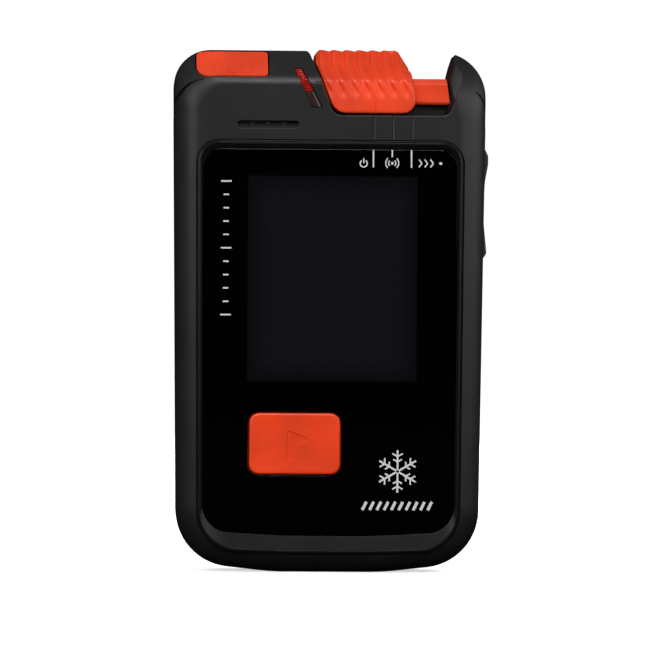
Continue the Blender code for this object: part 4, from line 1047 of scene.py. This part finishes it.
# ---- the battery bay
def turned(name, profile, origin, axis_up=True):
    """A turned piece: (radius, height) pairs spun round an upright axis."""
    x, y, z = origin
    sections = []
    for radius, height in profile:
        level = z + (height if axis_up else -height)
        sections.append([(*point, level) for point in circle(x, y, radius, 64)])
    return loft(name, sections)


def wire(name, points, thickness):
    """A round wire along points."""
    curve = bpy.data.curves.new(name, "CURVE")
    curve.dimensions = "3D"
    curve.bevel_depth = thickness / 2 * MM
    curve.bevel_resolution = 4
    curve.use_fill_caps = True
    spline = curve.splines.new("POLY")
    spline.points.add(len(points) - 1)
    for point, place_of_point in zip(spline.points, points):
        point.co = (*(Vector(place_of_point) * MM), 1)
    drawn = in_scene(name, curve)
    mesh = bpy.data.meshes.new_from_object(drawn.evaluated_get(bpy.context.evaluated_depsgraph_get()))
    bpy.data.objects.remove(drawn)
    mesh.shade_smooth()
    return in_scene(name, mesh)


def coil(name, start, end, upward, radii, turns, thickness, steps):
    """A wire wound from start to end across X and upward, as its radius goes from one to the other."""
    start, end, upward = Vector(start), Vector(end), Vector(upward)
    count = int(turns * steps)
    points = []
    for k in range(count + 1):
        share = k / count
        angle = 2 * math.pi * turns * share
        spoke = Vector((math.cos(angle), 0, 0)) + upward * math.sin(angle)
        points.append(start.lerp(end, share) + spoke * (radii[0] + (radii[1] - radii[0]) * share))
    return wire(name, points, thickness)


def make_cell(i, wrap, tin):
    """A cell: a printed wrap round rolled metal ends with a contact nub."""
    x, up = (i - 1) * CELL_PITCH, i != 1
    foot = (x, CELL_Y, CELL_FOOT_Z if up else CELL_HEAD_Z)
    radius, length = CELL_RADIUS, CELL_LENGTH
    sleeve = [
        (radius - 0.6, 0.35), (radius - 0.35, 0.35), (radius - 0.1, 0.45), (radius, 0.7), (radius, 1.2),
        (radius, length - 1.4), (radius, length - 0.8), (radius - 0.15, length - 0.45),
        (radius - 0.5, length - 0.3), (radius - 0.9, length - 0.35),
    ]
    ends = [
        (0.01, 0.0), (radius - 0.9, 0.0), (radius - 0.62, 0.12), (radius - 0.62, 0.6),
        (radius - 1.0, length - 0.5), (radius - 1.0, length - 0.25), (2.4, length - 0.12), (1.95, length),
        (1.9, length + 0.6), (1.7, length + 0.78), (0.01, length + 0.8),
    ]
    node_name = f"cell_{i + 1}"
    for part, profile, material, slot in (("wrap", sleeve, wrap, "cell_wrap"), ("ends", ends, tin, "steel")):
        made = soften(turned(part, profile, foot, up), 0.0)
        piece(made, f"{node_name}_{part}", material, "case", node_name, slot=slot)


def make_contacts(i, steel):
    """The tapered coil at a cell's flat end and the dimpled leaf at its nub."""
    x, up = (i - 1) * CELL_PITCH, i != 1
    low, high = (12.9, 15.45) if up else (62.1, 60.25)
    spring = coil("spring", (x, CELL_Y, low), (x, CELL_Y, high), (0, 1, 0), (3.6, 1.7), 3.5, 0.45, 28)
    piece(spring, f"cell_spring_{i + 1}", steel, "case", f"contact_spring_{i + 1}", slot="steel")
    z = (60.5, 60.9) if up else (14.8, 15.2)
    leaf = box("leaf", (x - 3.8, x + 3.8), (1.0, 8.5), z)
    add(leaf, rod("dimple", 2.2, (x, CELL_Y, z[0] - 0.12), (x, CELL_Y, z[1]), 32, 2.4))
    soften(leaf, 0.1)
    piece(leaf, f"contact_leaf_{i + 1}", steel, "case", f"contact_plate_{i + 1}", slot="steel")


# ---- materials
def new_material(name, colour, roughness, metallic=0.0, **sockets):
    """A new material with its main shader set. Returns the material, its tree and the shader."""
    made = bpy.data.materials.new(name)
    made.use_nodes = True
    shader = made.node_tree.nodes["Principled BSDF"]
    shader.inputs["Base Color"].default_value = (*colour, 1)
    shader.inputs["Roughness"].default_value = roughness
    shader.inputs["Metallic"].default_value = metallic
    for socket, value in sockets.items():
        shader.inputs[socket.replace("_", " ")].default_value = value
    return made, made.node_tree, shader


def node(tree, kind, inputs=(), **settings):
    """Adds a node; its inputs are given by name or place, as numbers or as other sockets."""
    made = tree.nodes.new("ShaderNode" + kind)
    for setting, value in settings.items():
        setattr(made, setting, value)
    for socket, value in dict(inputs).items():
        if isinstance(value, bpy.types.NodeSocket):
            tree.links.new(value, made.inputs[socket])
        else:
            made.inputs[socket].default_value = value
    return made


def maths(tree, operation, *values):
    return node(tree, "Math", dict(enumerate(values)), operation=operation).outputs[0]


def place(tree, stretch=(1, 1, 1)):
    """The point's place on its own piece, in metres, stretched along the axes."""
    found = node(tree, "TexCoord").outputs["Object"]
    return node(tree, "Mapping", {"Vector": found, "Scale": stretch}).outputs[0]


def noise(tree, size, detail=2.0, stretch=(1, 1, 1)):
    """Cloudy noise with grains of about that size in millimetres."""
    inputs = {"Vector": place(tree, stretch), "Scale": 1 / (size * MM), "Detail": detail}
    return node(tree, "TexNoise", inputs).outputs[0]


def wave(tree, size, direction):
    """Parallel bands across a direction."""
    inputs = {"Vector": place(tree), "Scale": 1 / (size * MM)}
    return node(tree, "TexWave", inputs, bands_direction=direction).outputs[1]


def between(tree, value, low, high, from_low=0.3, from_high=0.7):
    inputs = {0: value, 1: from_low, 2: from_high, 3: low, 4: high}
    return node(tree, "MapRange", inputs).outputs[0]


def blend_colours(tree, share, first, second):
    mixer = node(tree, "Mix", {0: share}, data_type="RGBA")
    for socket, colour in ((mixer.inputs[6], first), (mixer.inputs[7], second)):
        if isinstance(colour, bpy.types.NodeSocket):
            tree.links.new(colour, socket)
        else:
            socket.default_value = (*colour, 1)
    return mixer.outputs[2]


def finish_with(tree, shader, colour=None, roughness=None, height=None, depth=0.01):
    """Links the worked-out colour, roughness and bump height (depth in millimetres)."""
    if colour is not None:
        tree.links.new(colour, shader.inputs["Base Color"])
    if roughness is not None:
        tree.links.new(roughness, shader.inputs["Roughness"])
    if height is not None:
        bumped = node(tree, "Bump", {"Height": height, "Distance": depth * MM, "Strength": 1.0})
        tree.links.new(bumped.outputs[0], shader.inputs["Normal"])


def moulded(name, colour, roughness, grain=0.22, depth=0.008, **sockets):
    """Moulded plastic: spark-eroded grain, slight clouding in the colour and in the gloss."""
    made, tree, shader = new_material(name, colour, roughness, **sockets)
    darker = tuple(channel * 0.86 for channel in colour)
    paler = tuple(channel * 1.12 for channel in colour)
    tone = blend_colours(tree, between(tree, noise(tree, 9.0, 3.0), 0, 1), darker, paler)
    fine = noise(tree, grain, 3.0)
    gloss = maths(tree, "ADD", between(tree, noise(tree, 3.0), -0.03, 0.03), between(tree, fine, -0.04, 0.04))
    finish_with(tree, shader, tone, maths(tree, "ADD", gloss, roughness), fine, depth)
    return made


def clouds(size, detail=2.0, stretch=(1, 1, 1)):
    return lambda tree: noise(tree, size, detail, stretch)


def bands(size, direction):
    return lambda tree: wave(tree, size, direction)


def patterned(name, colour, roughness, pattern, tones, gloss, depth, metallic=0.0, haze=None, relief=None,
              **sockets):
    """A material whose tone and relief follow a pattern, unless its relief has a pattern of its own.
    Its gloss follows the pattern too, or noise with grains the size of haze."""
    made, tree, shader = new_material(name, colour, roughness, metallic, **sockets)
    height = pattern(tree)
    share, sheen = (height, noise(tree, haze)) if haze else (between(tree, height, 0, 1), height)
    bump = relief(tree) if relief else height
    finish_with(tree, shader, blend_colours(tree, share, *tones), between(tree, sheen, *gloss), bump, depth)
    return made


def tinted_window(name, colour, deep, roughness):
    """Tinted moulded window: darker where it is deep, with flow marks."""
    gloss = (roughness - 0.04, roughness + 0.05)
    return patterned(name, colour, roughness, clouds(0.8, 3.0, (1, 1, 0.35)), (deep, colour), gloss, 0.006,
                     Coat_Weight=0.3, Coat_Roughness=0.06)


def inside(tree, value, middle, half, soft):
    """1 where the value is within half of the middle, fading to 0 over a soft margin."""
    off = maths(tree, "ABSOLUTE", maths(tree, "SUBTRACT", value, middle))
    return between(tree, off, 1, 0, half - soft, half)


def make_lens_material():
    """Hard-coated acrylic, black behind, with a clear field where the display shows through; the field's tone
    is painted darker towards its edges, a painted shade from the mask round it.
    """
    made, tree, shader = new_material("lens_acrylic", (0.0003, 0.0003, 0.0003), 0.06, Specular_IOR_Level=0.5)
    parts = node(tree, "SeparateXYZ", {0: place(tree, (1000, 1000, 1000))}).outputs
    middle = [sum(span) / 2 for span in (DISPLAY_X, DISPLAY_Z)]
    half = [(span[1] - span[0]) / 2 for span in (DISPLAY_X, DISPLAY_Z)]

    def field(soft):
        return maths(tree, "MULTIPLY", inside(tree, parts[0], middle[0], half[0], soft),
                     inside(tree, parts[2], middle[1], half[1], soft))

    # painted shade: the display's tone darkens over the 5 mm next to the field's edges
    painted_brightness = maths(tree, "ADD", field(5.0), between(tree, wave(tree, 0.6, "Z"), -0.01, 0.01, 0, 1))
    panel = blend_colours(tree, painted_brightness, (0.0036, 0.0034, 0.0044), (0.0074, 0.0066, 0.0088))
    tone = blend_colours(tree, field(0.35), (0.0003, 0.0003, 0.0003), panel)
    smudge = between(tree, noise(tree, 14.0, 4.0), 0.04, 0.075)
    finish_with(tree, shader, tone, smudge, noise(tree, 6.0), 0.002)
    return made


def make_metal(name, colour, roughness, grain, stretch):
    """Metal with drawn or tumbled grain, slightly uneven gloss and faint tarnish."""
    made, tree, shader = new_material(name, colour, roughness, 1.0)
    lines = noise(tree, grain, 3.0, stretch)
    darker = tuple(channel * 0.72 for channel in colour)
    cloud = between(tree, noise(tree, 2.5, 4.0), 0, 1, 0.35, 0.75)
    tone = blend_colours(tree, cloud, colour, darker)
    finish_with(tree, shader, tone, between(tree, lines, roughness - 0.08, roughness + 0.1), lines, 0.004)
    return made


def make_board():
    """Solder mask over copper tracks, with gold pads here and there."""
    made, tree, shader = new_material("circuit_board", (0.01, 0.09, 0.035), 0.32, Coat_Weight=0.3)
    inputs = {"Vector": place(tree), "Scale": 1 / (2.6 * MM)}
    tracks = node(tree, "TexVoronoi", inputs, feature="DISTANCE_TO_EDGE")
    line = between(tree, tracks.outputs[0], 1, 0, 0.03, 0.06)
    mask = blend_colours(tree, line, (0.008, 0.07, 0.028), (0.02, 0.15, 0.06))
    pads = node(tree, "TexVoronoi", {"Vector": place(tree), "Scale": 1 / (3.4 * MM)})
    pad = between(tree, pads.outputs[0], 1, 0, 0.12, 0.15)
    tone = blend_colours(tree, pad, mask, (0.75, 0.52, 0.2))
    height = maths(tree, "MAXIMUM", line, pad)
    finish_with(tree, shader, tone, between(tree, noise(tree, 1.2), 0.26, 0.4), height, 0.03)
    return made


def make_cell_wrap(name, plus_end):
    """A printed shrink sleeve: graphite, with a pale band and an orange one by the plus end."""
    made, tree, shader = new_material(name, (0.03, 0.033, 0.038), 0.3, 0.35, Coat_Weight=0.5)
    height = node(tree, "SeparateXYZ", {0: place(tree, (1000, 1000, 1000))}).outputs[2]
    inward = 1 if plus_end < 30 else -1
    tone = blend_colours(tree, between(tree, noise(tree, 2.0, 3.0, (1, 1, 0.2)), 0, 1),
                         (0.024, 0.026, 0.03), (0.04, 0.043, 0.05))
    bands = ((8.5, 2.6, (0.62, 0.12, 0.02)), (12.3, 0.35, (0.5, 0.5, 0.5)), (37.5, 0.35, (0.5, 0.5, 0.5)))
    for along, half, colour in bands:
        share = inside(tree, height, plus_end + inward * along, half, 0.08)
        tone = blend_colours(tree, share, tone, colour)
    wrinkles = noise(tree, 0.9, 3.0, (1, 1, 0.3))
    finish_with(tree, shader, tone, between(tree, wrinkles, 0.24, 0.38), wrinkles, 0.012)
    return made


def ribbon_lines(tree):
    return between(tree, wave(tree, 3.0, "X"), 0, 1, 0.4, 0.6)


def weave(tree):
    return maths(tree, "MULTIPLY", wave(tree, 1.1, "X"), wave(tree, 1.1, "Z"))


case_black = moulded("case_plastic", (0.0105, 0.0105, 0.0109), 0.46, Specular_IOR_Level=0.45)
bezel_black = moulded("bezel_plastic", (0.005, 0.005, 0.0052), 0.38, 0.14, 0.004, Specular_IOR_Level=0.3)
orange = moulded("orange_plastic", (0.8, 0.05, 0.007), 0.4, grain=0.18, depth=0.005)
# pale grey for the painted highlights beside the index grooves
painted_groove_highlight = moulded("painted_groove_highlight", (0.06, 0.06, 0.06), 0.5)
dark_plastic = moulded("dark_plastic", (0.02, 0.02, 0.021), 0.5)
# dark silicone: matte, with fine grain and a bloom of dust
rubber = patterned("silicone", (0.014, 0.014, 0.015), 0.62, clouds(1.6, 4.0),
                   ((0.011, 0.011, 0.012), (0.02, 0.02, 0.021)), (0.55, 0.7), 0.012,
                   relief=clouds(0.15, 3.0), Sheen_Weight=0.15)
ink = patterned("screen_print", (0.62, 0.62, 0.61), 0.45, clouds(0.12, 3.0),
                ((0.56, 0.56, 0.55), (0.68, 0.68, 0.67)), (0.4, 0.5), 0.003)
ferrite = patterned("ferrite_rod", (0.035, 0.034, 0.036), 0.7, clouds(0.3, 5.0),
                    ((0.02, 0.02, 0.022), (0.06, 0.058, 0.06)), (0.6, 0.8), 0.03)
# enamelled wire wound side by side; its colour is darker in the hollows between turns, painted shade
copper = patterned("enamelled_copper", (0.62, 0.22, 0.09), 0.3, bands(2.2, "DIAGONAL"),
                   ((0.2, 0.05, 0.02), (0.68, 0.26, 0.1)), (0.25, 0.4), 0.06, 0.9, haze=0.5, Coat_Weight=0.4)
# amber film with parallel copper conductors
flex_circuit = patterned("flex_circuit", (0.45, 0.2, 0.03), 0.3, ribbon_lines,
                         ((0.4, 0.16, 0.02), (0.6, 0.33, 0.1)), (0.25, 0.38), 0.02, haze=0.9, Coat_Weight=0.3)
lcd = patterned("display_panel", (0.16, 0.18, 0.17), 0.25, bands(0.9, "Z"),
                ((0.13, 0.15, 0.14), (0.19, 0.21, 0.2)), (0.2, 0.3), 0.002, haze=3.0)
woven_wire = patterned("woven_wire", (0.05, 0.05, 0.052), 0.5, weave,
                       ((0.06, 0.06, 0.062), (0.004, 0.004, 0.004)), (0.4, 0.6), 0.05, 0.7, haze=0.4)
steel = make_metal("drawn_steel", (0.56, 0.56, 0.57), 0.3, 0.12, (1, 1, 0.1))
blasted_steel = make_metal("blasted_steel", (0.5, 0.5, 0.51), 0.42, 0.1, (1, 1, 1))
tin = make_metal("tinned_steel", (0.62, 0.62, 0.6), 0.34, 0.3, (1, 1, 1))
nickel_silver = make_metal("nickel_silver", (0.6, 0.58, 0.54), 0.36, 0.2, (0.08, 1, 1))
red_window = tinted_window("red_guide", (0.42, 0.014, 0.008), (0.2, 0.006, 0.004), 0.2)
smoked_window = tinted_window("smoked_window", (0.05, 0.025, 0.024), (0.02, 0.012, 0.012), 0.16)
lamp_dome = tinted_window("lamp_dome", (0.6, 0.04, 0.02), (0.4, 0.02, 0.01), 0.15)
wrap_up, wrap_down = make_cell_wrap("sleeve_up", 59.3), make_cell_wrap("sleeve_down", 16.4)

# pieces whose plain shape is already right; they only get a material
LEFT_AS_MODELLED = {
    rubber: ("housing_gasket", "lens_gasket", "lock_seal", "door_seal"),
    lcd: ("lcd_panel",),
    nickel_silver: ("lcd_frame", "radio_shield"),
    flex_circuit: ("lcd_ribbon",),
    dark_plastic: ("flag_switch", "side_switch_up", "side_switch_down", "speaker", "processor",
                   "hall_sensor"),
    blasted_steel: ("slider_magnet", "lock_clip", "door_hinge_pin", "board_screw_1", "board_screw_2"),
    steel: ("detent_spring",),
    make_board(): ("main_board", "lamp_board"),
    lamp_dome: ("send_lamp",),
    woven_wire: ("speaker_mesh",),
    ferrite: ("long_antenna_rod", "cross_antenna_rod", "short_antenna_rod"),
    copper: ("long_antenna_coil", "cross_antenna_coil", "short_antenna_coil"),
}


def finish_modelled_pieces():
    for material, names in LEFT_AS_MODELLED.items():
        for name in names:
            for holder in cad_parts[name].material_slots:
                holder.material = material


# ---- the stage
def by_ray(tree, camera, glossy, other):
    """A value for what the camera sees, for mirror-like rays, and for all others."""
    rays = node(tree, "LightPath").outputs
    mirrored_part = maths(tree, "MULTIPLY", rays["Is Glossy Ray"], maths(tree, "SUBTRACT", glossy, other))
    base = maths(tree, "ADD", mirrored_part, other)
    seen = rays["Is Camera Ray"]
    kept = maths(tree, "MULTIPLY", base, maths(tree, "SUBTRACT", 1.0, seen))
    return maths(tree, "ADD", kept, maths(tree, "MULTIPLY", seen, camera))


def make_floor():
    """Pale paper that is dim to the light that reaches the object. To the camera it also glows, a painted
    brightness that lifts its shadows and is weaker near the object, leaving painted shade round the object's
    foot.
    """
    bpy.ops.mesh.primitive_plane_add(size=6)
    floor = bpy.context.object
    floor.name = "floor"
    made, tree, shader = new_material("floor_paper", (0.9, 0.9, 0.9), 0.95, Specular_IOR_Level=0.0)
    level = by_ray(tree, camera=0.97, glossy=0.006, other=0.05)
    tone = node(tree, "CombineColor", {0: level, 1: level, 2: level})
    tree.links.new(tone.outputs[0], shader.inputs["Base Color"])
    away = node(tree, "VectorMath", {0: place(tree)}, operation="LENGTH").outputs["Value"]
    seen = by_ray(tree, camera=1.0, glossy=0.0, other=0.0)
    # painted light and shade: the floor glows to the camera at 0.6 within 0.1 m of the object, rising to 1.0
    # from 0.4 m out
    painted_brightness = maths(tree, "MULTIPLY", seen, between(tree, away, 0.6, 1.0, 0.1, 0.4))
    tree.links.new(painted_brightness, shader.inputs["Emission Strength"])
    shader.inputs["Emission Color"].default_value = (1, 1, 1, 1)
    floor.data.materials.append(made)


def make_surround():
    """A pale surround: a dim fill for the object, and bright panels above and beside it in its gloss."""
    world = bpy.data.worlds.new("studio")
    world.use_nodes = True
    tree = world.node_tree
    background = tree.nodes["Background"]
    background.inputs["Color"].default_value = (1, 1, 1, 1)
    direction = node(tree, "SeparateXYZ", {0: node(tree, "TexCoord").outputs["Generated"]}).outputs
    leftward = between(tree, direction[0], 1.0, 0.2, 0.0, 0.6)
    fill = between(tree, direction[2], WORLD_FILL[0], WORLD_FILL[1], -0.1, 0.8)
    level = between(tree, maths(tree, "ABSOLUTE", direction[2]), 1.0, 0.0, 0.2, 0.6)
    above = maths(tree, "MULTIPLY", between(tree, direction[2], 0.0, GLOSS_ABOVE, 0.25, 0.95), leftward)
    left = between(tree, direction[0], GLOSS_LEFT, 0.0, -0.98, -0.55)
    right = maths(tree, "MULTIPLY", between(tree, direction[0], 0.0, GLOSS_RIGHT, 0.5, 0.98), level)
    sheen = maths(tree, "ADD", maths(tree, "ADD", above, maths(tree, "ADD", left, right)), 0.002)
    tree.links.new(by_ray(tree, camera=1.05, glossy=sheen, other=fill), background.inputs["Strength"])
    bpy.context.scene.world = world


def add_light(name, spot, size, power):
    """A soft light: one whose name ends in gloss is only mirrored, and the others never are."""
    data = bpy.data.lights.new(name, "AREA")
    data.shape = "RECTANGLE"
    data.size, data.size_y = size
    data.energy = power
    made = in_scene(name, data)
    made.location = spot
    made.rotation_euler = (Vector((0, 0, 0.06)) - Vector(spot)).to_track_quat("-Z", "Y").to_euler()
    made.visible_glossy = name.endswith("gloss")
    made.visible_diffuse = not made.visible_glossy
    made.visible_camera = False


def make_camera():
    data = bpy.data.cameras.new("camera")
    data.lens = data.sensor_width * VIEW_DISTANCE / VIEW_WIDTH
    data.clip_start, data.clip_end = 0.05, 20
    camera = in_scene("camera", data)
    away = Vector((math.sin(VIEW_AZIMUTH), -math.cos(VIEW_AZIMUTH), 0))
    camera.location = VIEW_TARGET + away * VIEW_DISTANCE
    camera.rotation_euler = (math.pi / 2, -VIEW_ROLL, VIEW_AZIMUTH)
    bpy.context.scene.camera = camera


make_case_front(case_black)
make_bezel(bezel_black)
make_lens(make_lens_material())
make_marks(ink, painted_groove_highlight)
make_flag_key(orange)
make_slider(orange)
make_rail(orange, case_black)
make_lock_cap(orange, steel)
make_lamp_windows(red_window, smoked_window)
make_side_key("side_key_upper", "side_key_up", KEY_UP_Z, "top", rubber)
make_side_key("side_key_lower", "side_key_down", KEY_DOWN_Z, "base", rubber)
make_case_rear(case_black)
make_battery_door(case_black)
make_battery_lock(case_black, steel)
make_screws(blasted_steel)
make_leash_pin(steel)
for i, wrap in enumerate((wrap_up, wrap_down, wrap_up)):
    make_cell(i, wrap, tin)
    make_contacts(i, steel)
finish_modelled_pieces()
make_floor()
make_surround()
for light in LIGHTS:
    add_light(*light)
make_camera()
bpy.context.scene.view_settings.view_transform = "Standard"
